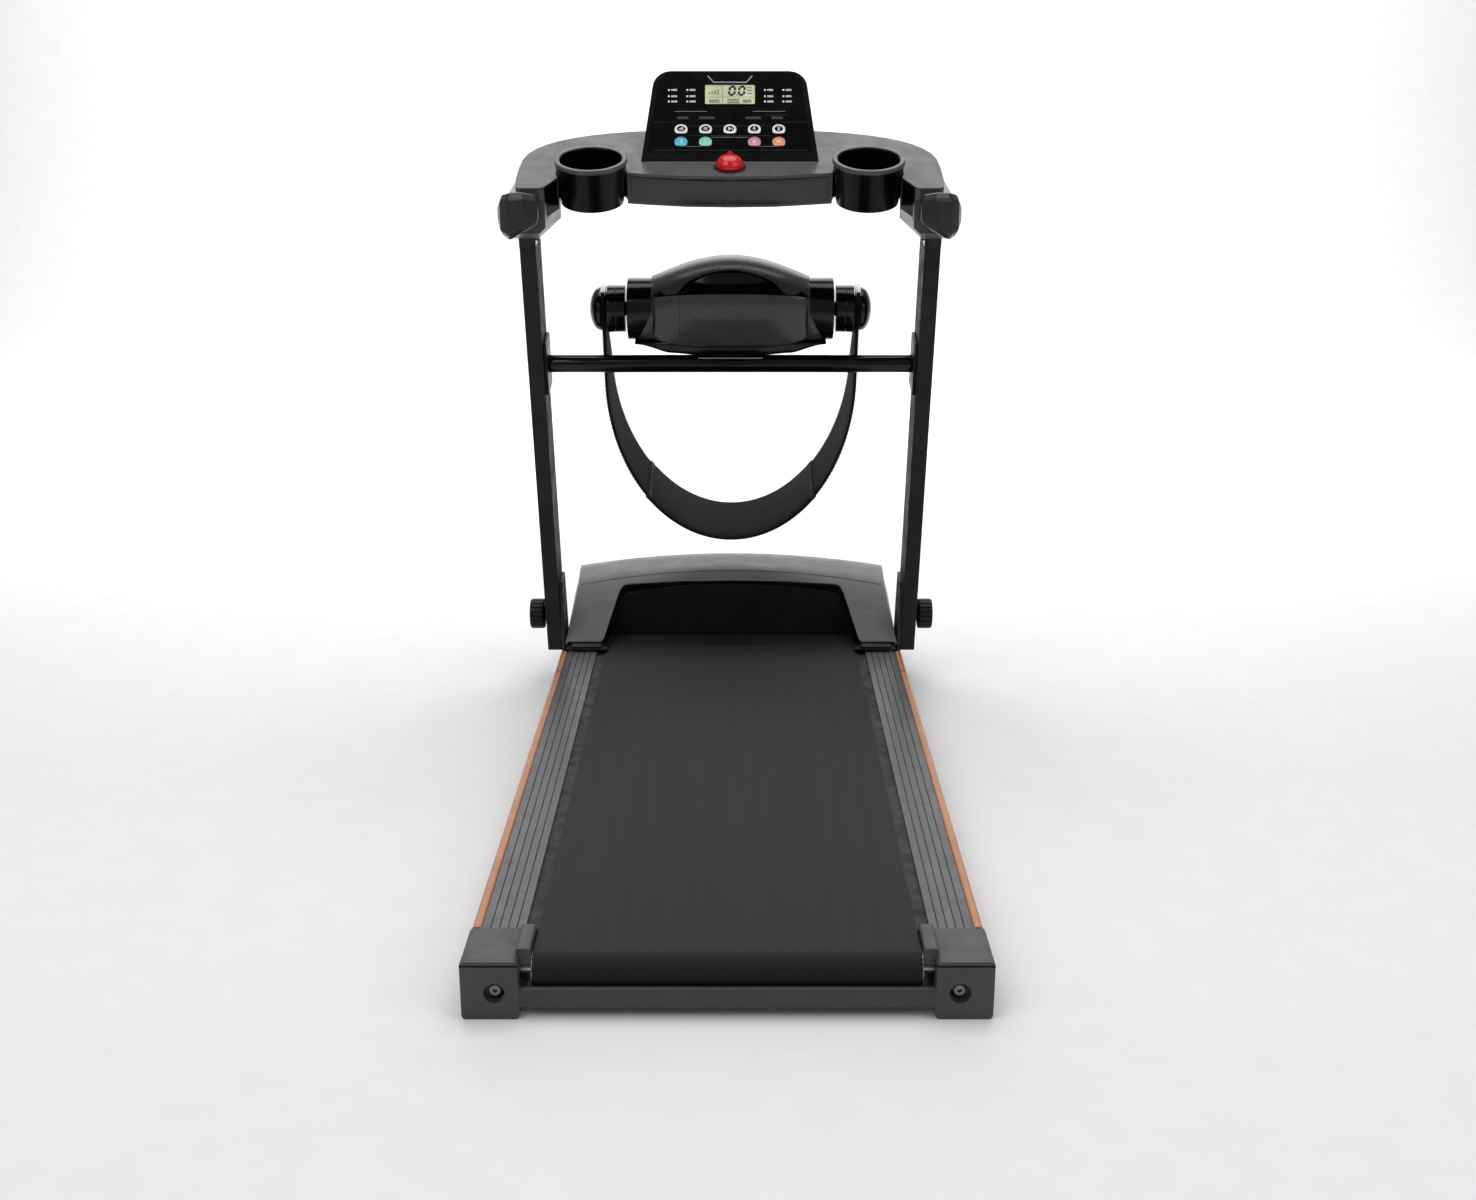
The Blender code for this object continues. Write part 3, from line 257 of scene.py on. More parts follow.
def sheet_piece(name, outer, inner, place, finish, body, replaced=(), sharp=40.0):
    """A wall between two grids of points that have the same rows and columns, closed round its rim."""
    rows, columns = outer.shape[:2]
    points = put(place, np.concatenate([outer.reshape(-1, 3), inner.reshape(-1, 3)]))
    size = rows * columns
    skin = np.array(grid_faces(rows, columns))
    index = np.arange(size).reshape(rows, columns)
    rim = np.concatenate([index[0], index[1:, -1], index[-1, -2::-1], index[-2:0:-1, 0]])
    following = np.roll(rim, -1)
    wall = np.stack([rim, following, following + size, rim + size], -1)
    faces = skin.tolist() + (skin[:, ::-1] + size).tolist() + wall.tolist()
    return make_piece(name, points, faces, finish, body, sharp, replaced)


def softened(node, finish, width, segments=3, turn=40.0):
    """A copy of a CAD node with its triangles merged into flat faces and its hard edges rounded off."""
    source = frame["nodes"][node]
    mesh = source.data.copy()
    for name in [layer.name for layer in mesh.attributes if layer.name == "custom_normal"]:
        mesh.attributes.remove(mesh.attributes[name])
    shape = bmesh.new()
    shape.from_mesh(mesh)
    bmesh.ops.remove_doubles(shape, verts=shape.verts, dist=2e-5)
    bmesh.ops.dissolve_limit(shape, angle_limit=radians(0.5), verts=shape.verts, edges=shape.edges)
    large = [face for face in shape.faces if len(face.verts) > 24]
    bmesh.ops.triangulate(shape, faces=large, ngon_method="EAR_CLIP")
    shape.to_mesh(mesh)
    shape.free()
    mesh.materials.clear()
    mesh.materials.append(finish)
    mesh.shade_smooth()
    piece = bpy.data.objects.new(node + "_body", mesh)
    bpy.context.scene.collection.objects.link(piece)
    edge = piece.modifiers.new("soft_edges", "BEVEL")
    edge.width = width
    edge.segments = segments
    edge.limit_method = "ANGLE"
    edge.angle_limit = radians(turn)
    edge.use_clamp_overlap = True
    edge.harden_normals = True
    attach(piece, source["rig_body"])
    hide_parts(node)
    return piece


def coat_nodes(finish, *nodes):
    """Give CAD nodes that are shown as they are their finish."""
    for node in nodes:
        mesh = frame["nodes"][node].data
        mesh.materials.clear()
        mesh.materials.append(finish)


# ---- finishes ----
def start_finish(name):
    """A new material with its node tree and its main shader."""
    surface = bpy.data.materials.new(name)
    surface.use_nodes = True
    return surface, surface.node_tree, surface.node_tree.nodes["Principled BSDF"]


def add(tree, kind, inputs=None, **settings):
    """A node with its settings and the values or links of its inputs."""
    node = tree.nodes.new(kind)
    for key, value in settings.items():
        setattr(node, key, value)
    for key, value in (inputs or {}).items():
        if isinstance(value, bpy.types.NodeSocket):
            tree.links.new(value, node.inputs[key])
        else:
            node.inputs[key].default_value = value
    return node


def noise(tree, where, scale, detail=3.0, roughness=0.55):
    """Noise over a vector, from 0 to 1."""
    return add(tree, "ShaderNodeTexNoise", {"Vector": where, "Scale": scale, "Detail": detail,
                                            "Roughness": roughness}).outputs["Fac"]


def spread(tree, value, low, high, start=0.35, stop=0.65):
    """Map a value between start and stop to the range from low to high."""
    return add(tree, "ShaderNodeMapRange", {"Value": value, "From Min": start, "From Max": stop,
                                            "To Min": low, "To Max": high}).outputs["Result"]


def mixed(tree, amount, first, second):
    """Blend two colours by an amount."""
    node = add(tree, "ShaderNodeMix", data_type="RGBA")
    tree.links.new(amount, node.inputs["Factor"])
    for place, colour in ((6, first), (7, second)):
        if isinstance(colour, bpy.types.NodeSocket):
            tree.links.new(colour, node.inputs[place])
        else:
            node.inputs[place].default_value = (*colour, 1.0)
    return node.outputs[2]


def scaled(colour, factor):
    """Colour times a factor, no part above 1."""
    return tuple(min(1.0, c * factor) for c in colour)


def bump(tree, height, distance, strength=1.0, below=None):
    """Normal bent by a height, on top of another bent normal if one is given."""
    inputs = {"Height": height, "Distance": distance, "Strength": strength}
    if below is not None:
        inputs["Normal"] = below
    return add(tree, "ShaderNodeBump", inputs).outputs["Normal"]


def moulded(name, colour, roughness, grain=0.35, grain_scale=1400.0, cloud=0.10, coat=0.0, metallic=0.0,
            waviness=0.0, dust=0.012, shine=0.30):
    """Moulded or painted surface: cloudy colour, a fine grain, uneven gloss and dust on upward faces."""
    surface, tree, shader = start_finish(name)
    where = add(tree, "ShaderNodeTexCoord").outputs["Object"]
    clouds = noise(tree, where, 14.0, 4.0)
    base = mixed(tree, spread(tree, clouds, 0.0, 1.0), scaled(colour, 1 - cloud), scaled(colour, 1 + cloud))
    facing = add(tree, "ShaderNodeSeparateXYZ",
                 {"Vector": add(tree, "ShaderNodeNewGeometry").outputs["Normal"]}).outputs["Z"]
    specks = noise(tree, where, 420.0, 2.0)
    settled = add(tree, "ShaderNodeMath", {0: spread(tree, facing, 0.0, dust, 0.75, 1.0), 1: specks},
                  operation="MULTIPLY").outputs[0]
    base = mixed(tree, settled, base, (0.45, 0.44, 0.42))
    tree.links.new(base, shader.inputs["Base Color"])
    smears = noise(tree, where, 38.0, 5.0, 0.6)
    uneven = spread(tree, smears, roughness * 0.82, min(1.0, roughness * 1.22))
    tree.links.new(uneven, shader.inputs["Roughness"])
    normal = bump(tree, noise(tree, where, grain_scale, 2.0), 0.00006, grain)
    if waviness:
        normal = bump(tree, noise(tree, where, 9.0, 1.0), 0.002, waviness, normal)
    tree.links.new(normal, shader.inputs["Normal"])
    shader.inputs["Metallic"].default_value = metallic
    shader.inputs["Specular IOR Level"].default_value = shine
    shader.inputs["Coat Weight"].default_value = coat
    shader.inputs["Coat Roughness"].default_value = 0.06
    return surface


def turned_metal(name, colour, roughness, axis):
    """Plated steel with fine turning marks: noise that is drawn out round the axis."""
    surface, tree, shader = start_finish(name)
    where = add(tree, "ShaderNodeTexCoord").outputs["Object"]
    stretch = tuple(900.0 if i == axis else 12.0 for i in range(3))
    marks = noise(tree, add(tree, "ShaderNodeMapping", {"Vector": where, "Scale": stretch}).outputs[0], 1.0)
    tree.links.new(mixed(tree, spread(tree, marks, 0.0, 1.0), scaled(colour, 0.82), scaled(colour, 1.08)),
                   shader.inputs["Base Color"])
    tree.links.new(spread(tree, marks, roughness * 0.8, roughness * 1.3), shader.inputs["Roughness"])
    tree.links.new(bump(tree, marks, 0.00003, 0.5), shader.inputs["Normal"])
    shader.inputs["Metallic"].default_value = 1.0
    return surface


def crossed_waves(tree, where, scale, turn):
    """Two sets of sine ridges at plus and minus a turn, multiplied: a grid of small diamonds."""
    ridges = []
    for sign in (-1.0, 1.0):
        rotation = (0.0, 0.0, sign * turn)
        turned = add(tree, "ShaderNodeMapping", {"Vector": where, "Rotation": rotation}).outputs[0]
        wave = add(tree, "ShaderNodeTexWave", {"Vector": turned, "Scale": scale, "Distortion": 0.0},
                   wave_type="BANDS", bands_direction="X")
        ridges.append(wave.outputs["Fac"])
    return add(tree, "ShaderNodeMath", {0: ridges[0], 1: ridges[1]}, operation="MULTIPLY").outputs[0]


def belt_finish():
    """Running belt: charcoal with a fine diamond grain, faint tracks, dusty pores and painted shade that
    darkens its rear end round the roller.
    """
    surface, tree, shader = start_finish("running_belt_pvc")
    where = add(tree, "ShaderNodeTexCoord").outputs["Object"]
    diamonds = crossed_waves(tree, where, 110.0, pi / 4)
    pores = noise(tree, where, 900.0, 3.0, 0.7)
    drawn_out = add(tree, "ShaderNodeMapping", {"Vector": where, "Scale": (60.0, 1.5, 1.0)}).outputs[0]
    tracks = noise(tree, drawn_out, 1.0, 4.0)
    base = mixed(tree, spread(tree, tracks, 0.0, 1.0), (0.0115, 0.0115, 0.0124), (0.0150, 0.0150, 0.0160))
    base = mixed(tree, spread(tree, pores, 0.0, 0.35, 0.45, 0.75), base, (0.045, 0.045, 0.047))
    # painted shade: the colour goes nearly black towards the rear end, where the belt wraps round the rear
    # roller
    depth = add(tree, "ShaderNodeSeparateXYZ", {"Vector": where}).outputs["Y"]
    painted_shade_at_rear = spread(tree, depth, 0.85, 0.0, REAR + 0.010, REAR + 0.034)
    base = mixed(tree, painted_shade_at_rear, base, (0.002, 0.002, 0.002))
    tree.links.new(base, shader.inputs["Base Color"])
    tree.links.new(spread(tree, pores, 0.62, 0.82), shader.inputs["Roughness"])
    shader.inputs["Specular IOR Level"].default_value = 0.30
    normal = bump(tree, pores, 0.0002, 0.5)
    tree.links.new(bump(tree, diamonds, 0.0004, 0.45, normal), shader.inputs["Normal"])
    return surface


def woven(name, colour, ribs, crossing, sheen):
    """Cloth read from the piece's own UV map in metres: warp ribs along it, weft across, loose fibres."""
    surface, tree, shader = start_finish(name)
    where = add(tree, "ShaderNodeUVMap", uv_map="cloth").outputs["UV"]
    solid = add(tree, "ShaderNodeTexCoord").outputs["Object"]
    warp = add(tree, "ShaderNodeTexWave", {"Vector": where, "Scale": ribs, "Distortion": 0.6},
               bands_direction="X").outputs["Fac"]
    weft = add(tree, "ShaderNodeTexWave", {"Vector": where, "Scale": crossing, "Distortion": 0.6},
               bands_direction="Y").outputs["Fac"]
    weave = add(tree, "ShaderNodeMath", {0: warp, 1: weft}, operation="MULTIPLY").outputs[0]
    fibres = noise(tree, solid, 700.0, 4.0, 0.7)
    base = mixed(tree, spread(tree, weave, 0.0, 1.0, 0.1, 0.8), scaled(colour, 0.55), scaled(colour, 1.25))
    base = mixed(tree, spread(tree, fibres, 0.0, 0.20, 0.5, 0.8), base, scaled(colour, 2.4))
    shader.inputs["Specular IOR Level"].default_value = 0.15
    tree.links.new(base, shader.inputs["Base Color"])
    tree.links.new(spread(tree, fibres, 0.75, 0.95), shader.inputs["Roughness"])
    normal = bump(tree, fibres, 0.0003, 0.4)
    tree.links.new(bump(tree, weave, 0.0005, 0.7, normal), shader.inputs["Normal"])
    shader.inputs["Sheen Weight"].default_value = sheen
    shader.inputs["Sheen Roughness"].default_value = 0.5
    return surface


def display_finish():
    """Reflective liquid-crystal display: pale green with a slow change of tone and a glossy front."""
    surface, tree, shader = start_finish("display_green")
    where = add(tree, "ShaderNodeTexCoord").outputs["Object"]
    tone = noise(tree, where, 22.0, 2.0)
    tree.links.new(mixed(tree, spread(tree, tone, 0.0, 1.0), (0.50, 0.57, 0.33), (0.66, 0.71, 0.46)),
                   shader.inputs["Base Color"])
    tree.links.new(spread(tree, tone, 0.34, 0.42), shader.inputs["Roughness"])
    shader.inputs["Coat Weight"].default_value = 0.4
    shader.inputs["Coat Roughness"].default_value = 0.05
    return surface


FINISH = {
    "steel": moulded("painted_steel", (0.022, 0.023, 0.024), 0.42, 0.5, 500.0),
    # painted light: the frame's own painted steel, made about twice as light so the rear bar looks lit
    "bar": moulded("rear_bar_paint_with_painted_light", (0.045, 0.046, 0.048), 0.40, 0.5, 500.0),
    "upright": moulded("upright_paint", (0.021, 0.021, 0.022), 0.60, 0.6, 650.0, shine=0.12),
    "zinc": turned_metal("zinc_plated_steel", (0.42, 0.42, 0.44), 0.34, 0),
    "bolt": turned_metal("socket_screw_steel", (0.20, 0.20, 0.21), 0.36, 1),
    "board": moulded("deck_board_black", (0.008, 0.008, 0.008), 0.55, 0.7, 900.0, dust=0.004),
    "belt": belt_finish(),
    "rubber": moulded("wheel_rubber", (0.012, 0.012, 0.013), 0.62, 0.8, 900.0, dust=0.006),
    "rail": moulded("rail_plastic", (0.052, 0.053, 0.055), 0.34, 0.8, 1100.0, 0.08, shine=0.45),
    "copper": moulded("trim_copper", (0.450, 0.185, 0.085), 0.38, 0.4, 1300.0, 0.08, metallic=0.15,
                      shine=0.4),
    "cap": moulded("cap_plastic", (0.054, 0.055, 0.057), 0.40, 0.9, 1000.0, 0.08),
    "hood": moulded("hood_plastic", (0.158, 0.159, 0.167), 0.44, 0.2, 1600.0, 0.05, coat=0.12,
                    waviness=0.10),
    "black": moulded("black_plastic", (0.006, 0.006, 0.007), 0.38, 0.6, 1200.0, dust=0.004, shine=0.22),
    "gloss": moulded("gloss_black_plastic", (0.0018, 0.0018, 0.002), 0.13, 0.05, 1600.0, dust=0.001),
    "satin": moulded("charcoal_plastic", (0.044, 0.044, 0.048), 0.24, 0.10, 1500.0, coat=0.2, dust=0.006),
    "cap_grey": moulded("massager_cap_plastic", (0.040, 0.041, 0.043), 0.26, 0.2, 1500.0, coat=0.15),
    "tray": moulded("tray_plastic", (0.066, 0.067, 0.070), 0.36, 0.8, 1200.0, 0.08),
    "face": moulded("panel_film", (0.0012, 0.0012, 0.0014), 0.30, 0.15, 1600.0, dust=0.0, shine=0.06),
    "shell": moulded("console_shell_black", (0.0020, 0.0020, 0.0022), 0.22, 0.2, 1500.0, dust=0.001,
                     shine=0.16),
    "fascia": moulded("fascia_plastic", (0.030, 0.031, 0.033), 0.25, 0.3, 1400.0, coat=0.15),
    "rim": moulded("cup_rim_plastic", (0.070, 0.071, 0.074), 0.30, 0.3, 1400.0),
    "grip": moulded("grip_rubber", (0.020, 0.020, 0.022), 0.34, 0.7, 900.0, coat=0.1),
    "strap": woven("strap_webbing", (0.0060, 0.0060, 0.0064), 480.0, 260.0, 0.03),
    "pad": woven("strap_pad_cloth", (0.0085, 0.0085, 0.009), 900.0, 900.0, 0.05),
    "thread": moulded("strap_thread", (0.020, 0.020, 0.021), 0.80, 0.8, 1500.0, dust=0.0),
    "green": moulded("circuit_board", (0.020, 0.120, 0.050), 0.45, 0.3, 900.0),
    "red": moulded("key_red", (0.600, 0.006, 0.008), 0.20, 0.15, 1500.0, coat=0.5, dust=0.0),
    "display": display_finish(),
    "ink": moulded("display_ink", (0.010, 0.011, 0.010), 0.45, 0.2, dust=0.0),
    "faint_ink": moulded("display_faint_ink", (0.240, 0.275, 0.165), 0.45, 0.2, dust=0.0),
    "print": moulded("white_print", (0.700, 0.700, 0.690), 0.50, 0.3, dust=0.0),
    # silver ink of the panel's prints, also used for the painted highlight under the massager base
    "silver_print_and_highlight": moulded("silver_print_and_highlight", (0.300, 0.300, 0.310), 0.40, 0.3, dust=0.0),
    "grey_print": moulded("grey_print", (0.030, 0.030, 0.032), 0.45, 0.3, dust=0.0),
    "white": moulded("button_white", (0.800, 0.800, 0.770), 0.42, 0.4, dust=0.0),
    "blue": moulded("button_blue", (0.100, 0.470, 0.600), 0.42, 0.4, dust=0.0),
    "mint": moulded("button_mint", (0.260, 0.680, 0.500), 0.42, 0.4, dust=0.0),
    "pink": moulded("button_pink", (0.660, 0.250, 0.420), 0.42, 0.4, dust=0.0),
    "orange": moulded("button_orange", (0.820, 0.330, 0.130), 0.42, 0.4, dust=0.0),
}


# ---- deck ----
def keep_cad_nodes():
    """CAD nodes whose shape is already right get only a finish."""
    coat_nodes(FINISH["steel"], "frame_side_left", "frame_side_right", "frame_cross_front")
    coat_nodes(FINISH["zinc"], "rear_axle", "front_axle", "rear_roller", "front_roller", "motor_pulley")
    coat_nodes(FINISH["bolt"], "tension_bolt_left", "tension_bolt_right")
    coat_nodes(FINISH["board"], "deck_board", "belly_pan")
    coat_nodes(FINISH["rail"], "side_rail_left", "side_rail_right")
    coat_nodes(FINISH["black"], "drive_motor")
    coat_nodes(FINISH["face"], "console_face")
    coat_nodes(FINISH["rubber"], "drive_belt")
    coat_nodes(FINISH["green"], "motor_controller")
    coat_nodes(FINISH["gloss"], "console_underside")
    coat_nodes(FINISH["display"], "display_window")


def build_running_belt():
    """A loop round both rollers: two half circles joined by straight runs, with slightly uneven edges."""
    half, inner, thickness, middle_up = 0.2376, 0.0213, 0.0022, 0.052
    rear, front = 0.0335, 1.300
    turn = np.linspace(pi / 2, 3 * pi / 2, 41)
    ring = np.stack([np.cos(turn), np.sin(turn)], -1)
    run = np.linspace(rear, front, 80)[1:-1]
    loops = []
    for lift in (inner, inner + thickness):
        bottom = np.stack([run, np.full(len(run), middle_up - lift)], -1)
        top = np.stack([run[::-1], np.full(len(run), middle_up + lift)], -1)
        loops.append(np.concatenate([ring * lift + (rear, middle_up), bottom,
                                     -ring * lift + (front, middle_up), top]))
    inside, outside = loops
    count = np.arange(len(inside))
    edge = half + 0.0003 * np.sin(count * 1.7) + 0.0002 * np.sin(count * 4.1)
    corners = ((-edge, inside), (-edge, outside), (edge, outside), (edge, inside))
    points = np.stack([np.stack([x, line[:, 0], line[:, 1]], -1) for x, line in corners], 1)
    make_piece("belt_loop", put(DECK, points), grid_faces(len(count), 4, True, True), FINISH["belt"], "deck",
               replaced=("running_belt",))


def soften_cad_nodes():
    """CAD nodes whose shape is right but whose edges are softer: a merged copy with bevelled edges."""
    for side, _ in SIDES:
        softened("trim_strip_" + side, FINISH["copper"], 0.0010)
        softened("end_cap_" + side, FINISH["cap"], 0.0012)
        softened("pivot_plate_" + side, FINISH["steel"], 0.0010)
        softened("upright_" + side, FINISH["upright"], 0.0018, 4)
        softened("hand_grip_" + side, FINISH["grip"], 0.0040, 4, 14.0)
    # the rear bar gets the lighter copy of the frame's paint: painted light
    softened("frame_cross_rear", FINISH["bar"], 0.0004)
    softened("belt_guard", FINISH["black"], 0.0006)
    softened("power_inlet", FINISH["black"], 0.0006)
    softened("power_switch", FINISH["black"], 0.0006)
    softened("console_tray", FINISH["tray"], 0.0014)
    softened("console_housing", FINISH["shell"], 0.0016)


HOOD_REAR, HOOD_FRONT = 1.203, 1.455
HOOD_STATIONS = (1.203, 1.250, 1.305, 1.340, 1.375, 1.405, 1.430, 1.446, 1.453, 1.455)
HOOD_CROWN = (0.0885, 0.1450, 0.2009, 0.2090, 0.2125, 0.2060, 0.1800, 0.1300, 0.0800, 0.0330)
HOOD_SHOULDER = (0.0880, 0.1270, 0.1716, 0.1830, 0.1880, 0.1820, 0.1600, 0.1200, 0.0760, 0.0325)
HOOD_HALF = (0.3150, 0.3060, 0.2970, 0.2985, 0.2990, 0.2980, 0.2970, 0.3000, 0.3060, 0.3140)
ARCH_ACROSS = (0.0, 0.100, 0.198, 0.2085, 0.2155, 0.2447, 0.2450, 0.330)
ARCH_UP = (0.1860, 0.1840, 0.1772, 0.1752, 0.1685, 0.088, 0.060, 0.060)


def hood_height(depth, part):
    """Height of the hood at a depth and a share of its half-width: a parabola from shoulder to crown."""
    crown = curve_through(depth, HOOD_STATIONS, HOOD_CROWN)
    shoulder = curve_through(depth, HOOD_STATIONS, HOOD_SHOULDER)
    return shoulder + (crown - shoulder) * (1.0 - part * part)


def build_hood():
    """The hood's skin: each column runs from the arch, or from a leg's foot, over the top to the nose.

    Rows close up towards the nose by a sine. The last columns on each side turn down to the hem.
    """
    part = np.sin(np.linspace(-pi / 2, pi / 2, 141))
    part = 0.55 * np.linspace(-1, 1, 141) + 0.45 * part
    sample = np.linspace(HOOD_REAR, 1.31, 900)
    height = hood_height(sample[:, None], part[None])
    across = np.abs(part)[None] * np.interp(sample, HOOD_STATIONS, HOOD_HALF)[:, None]
    above = height >= np.interp(across, ARCH_ACROSS, ARCH_UP) - 1e-9
    start = sample[np.argmax(above, axis=0)]
    v = np.sin(np.linspace(0, pi / 2, 150))[:, None]
    depth = start[None] + (HOOD_FRONT - start[None]) * v
    half = np.interp(depth, HOOD_STATIONS, HOOD_HALF)
    x = half * part[None]
    z = hood_height(depth, part[None])
    side_depth = depth[:, :1]
    hem = np.where(side_depth < 1.3301, 0.0830, 0.0300)
    down = np.linspace(0, 1, 9)[1:][None]
    rounding = np.sin(down * pi / 2)
    skirt_z = z[:, :1] + (np.minimum(hem, z[:, :1] - 0.001) - z[:, :1]) * down
    skirt_x = half[:, :1] + (0.3152 - half[:, :1]) * rounding
    skirt_depth = np.repeat(side_depth, 8, 1)
    x = np.hstack([-skirt_x[:, ::-1], x, skirt_x])
    depth = np.hstack([skirt_depth[:, ::-1], depth, skirt_depth])
    z = np.hstack([skirt_z[:, ::-1], z, skirt_z])
    outer = np.stack([x, depth, z], -1)
    rows, columns = outer.shape[:2]
    faces = np.array(grid_faces(rows, columns))
    centre = outer.reshape(-1, 3)[faces].mean(1)
    at_nose = (centre[:, 1] > 1.44) & (centre[:, 2] > 0.0560) & (centre[:, 2] < 0.0870)
    inlet = at_nose & (centre[:, 0] > -0.2240) & (centre[:, 0] < -0.1760)
    switch = at_nose & (centre[:, 0] > -0.1530) & (centre[:, 0] < -0.1170)
    kept = faces[~(inlet | switch)].tolist()
    hood = make_piece("hood_skin", put(DECK, outer), kept, FINISH["hood"], "deck", 55.0,
                      ("motor_cover",))
    wall = hood.modifiers.new("wall", "SOLIDIFY")
    wall.thickness = 0.0030
    wall.offset = -1.0
    wall.use_even_offset = False
    return hood


def hood_line(name, depth, width, lift, finish):
    """A thin line that follows the hood's skin across at one depth, a little proud of it."""
    part = np.linspace(-0.985, 0.985, 121)
    rows = []
    for shift, rise in ((-width / 2, -0.0006), (-width / 2, lift), (width / 2, lift), (width / 2, -0.0006)):
        d = depth + shift
        half = np.interp(d, HOOD_STATIONS, HOOD_HALF)
        z = hood_height(d, part) + rise * 0.8
        rows.append(np.stack([half * part, np.full(part.shape, d - rise * 0.6), z], -1))
    points = np.stack(rows, 1)
    make_piece(name, put(DECK, points), tube_faces(len(part), 4), finish, "deck", 20.0)


def build_deck_details():
    """Seams, screws and shoes on both sides of the deck, and frames round the inlet and the switch."""
    hood_line("hood_seam", 1.3035, 0.0011, 0.0002, FINISH["black"])
    screw = [(0.0770, 0.0), (0.0770, 0.0042), (0.0796, 0.0042), (0.0802, 0.0)]
    for side, sign in SIDES:
        # screw on the trim strip
        lathe_piece("strip_screw_" + side, screw, (sign * 0.3147, 1.062, 0.0), DECK, FINISH["bolt"], "deck",
                    "zinc_steel", 0.0006, axis="z", steps=32)
        # inner collar between the end cap and the rear bar
        outline = box_outline((sign * 0.2540 - 0.0020, 0.0120), (sign * 0.2540 + 0.0020, 0.0430), 0.0015)
        slab_piece("bar_collar_" + side, outline, 0.0004, 0.0140, 0.0010, "y", DECK, FINISH["cap"], "deck")
        # foot plate of the hood's leg
        foot = box_outline((sign * 0.2750 - 0.0290, 1.1800), (sign * 0.2750 + 0.0290, 1.2080), 0.004)
        slab_piece("leg_shoe_" + side, foot, 0.0790, 0.0860, 0.0012, "z", DECK, FINISH["black"], "deck")
        # cover seam round the end cap
        cap = fillet([(sign * 0.2530, 0.0), (sign * 0.3235, 0.0), (sign * 0.3235, 0.0868),
                      (sign * 0.2530, 0.0868)], 0.0016)
        grown = (cap - cap.mean(0)) * (1 + 0.0005 / 0.040) + cap.mean(0)
        slab_piece("cap_seam_" + side, grown, 0.0708, 0.0718, 0.0002, "z", DECK, FINISH["gloss"], "deck")
    for name, low, high, hole_low, hole_high in (
            ("inlet_bezel", (-0.2290, 0.0535), (-0.1710, 0.0885), (-0.2120, 0.0610), (-0.1880, 0.0790)),
            ("switch_bezel", (-0.1570, 0.0535), (-0.1130, 0.0885), (-0.1490, 0.0575), (-0.1210, 0.0845))):
        outside, hole = box_outline(low, high, 0.004), box_outline(hole_low, hole_high, 0.002)
        ring = np.stack([put_ring(outside, 40), put_ring(hole, 40)], 0)
        outer = np.stack([ring[..., 0], np.full(ring.shape[:2], 1.4549), ring[..., 1]], -1)
        outer = np.concatenate([outer, outer[:, :1]], 1)
        sheet_piece(name, outer, outer - np.array((0.0, 0.0028, 0.0)), DECK, FINISH["black"], "deck")


def put_ring(outline, count):
    """The same closed outline as evenly spaced points."""
    closed = np.vstack([outline, outline[:1]])
    reach = np.concatenate([[0.0], np.cumsum(np.linalg.norm(np.diff(closed, axis=0), axis=1))])
    where = np.linspace(0.0, reach[-1], count, endpoint=False)
    return np.stack([np.interp(where, reach, closed[:, k]) for k in (0, 1)], -1)


def build_wheels():
    """Turned transport wheels with a rounded tread and a stub on the inner side."""
    for side, sign in SIDES:
        stations = [(0.2990, 0.0), (0.2990, 0.0040), (0.3170, 0.0040), (0.3170, 0.0120), (0.3185, 0.0225),
                    (0.3205, 0.0235), (0.3315, 0.0235), (0.3335, 0.0225), (0.3350, 0.0120), (0.3340, 0.0090),
                    (0.3340, 0.0)]
        profile = [(sign * x, r) for x, r in stations]
        lathe_piece("front_wheel_" + side, profile, (0.0, 1.405, 0.0245), DECK, FINISH["rubber"],
                    "wheel_" + side, "belt_rubber", 0.0010, replaced=("wheel_" + side,))


# ---- mast ----
def build_knobs():
    """Turned clamp knobs whose rim has 20 grooves, cut by the cube of a cosine."""
    for side, sign in SIDES:
        stations = [(0.3170, 0.0), (0.3170, 0.0048), (0.3502, 0.0048), (0.3502, 0.0130), (0.3550, 0.0130),
                    (0.3556, 0.0262), (0.3575, 0.0282), (0.3650, 0.0284), (0.3800, 0.0282), (0.3823, 0.0262),
                    (0.3823, 0.0140), (0.3812, 0.0130), (0.3812, 0.0)]
        profile = [(sign * x, r) for x, r in stations]
        lathe_piece("clamp_knob_" + side, profile, (0.0, 0.0375, 0.055), MAST, FINISH["black"],
                    "fold_knob_" + side, "black_plastic", 0.0012, steps=240, flutes=20, depth=0.0022,
                    replaced=("fold_knob_" + side,))


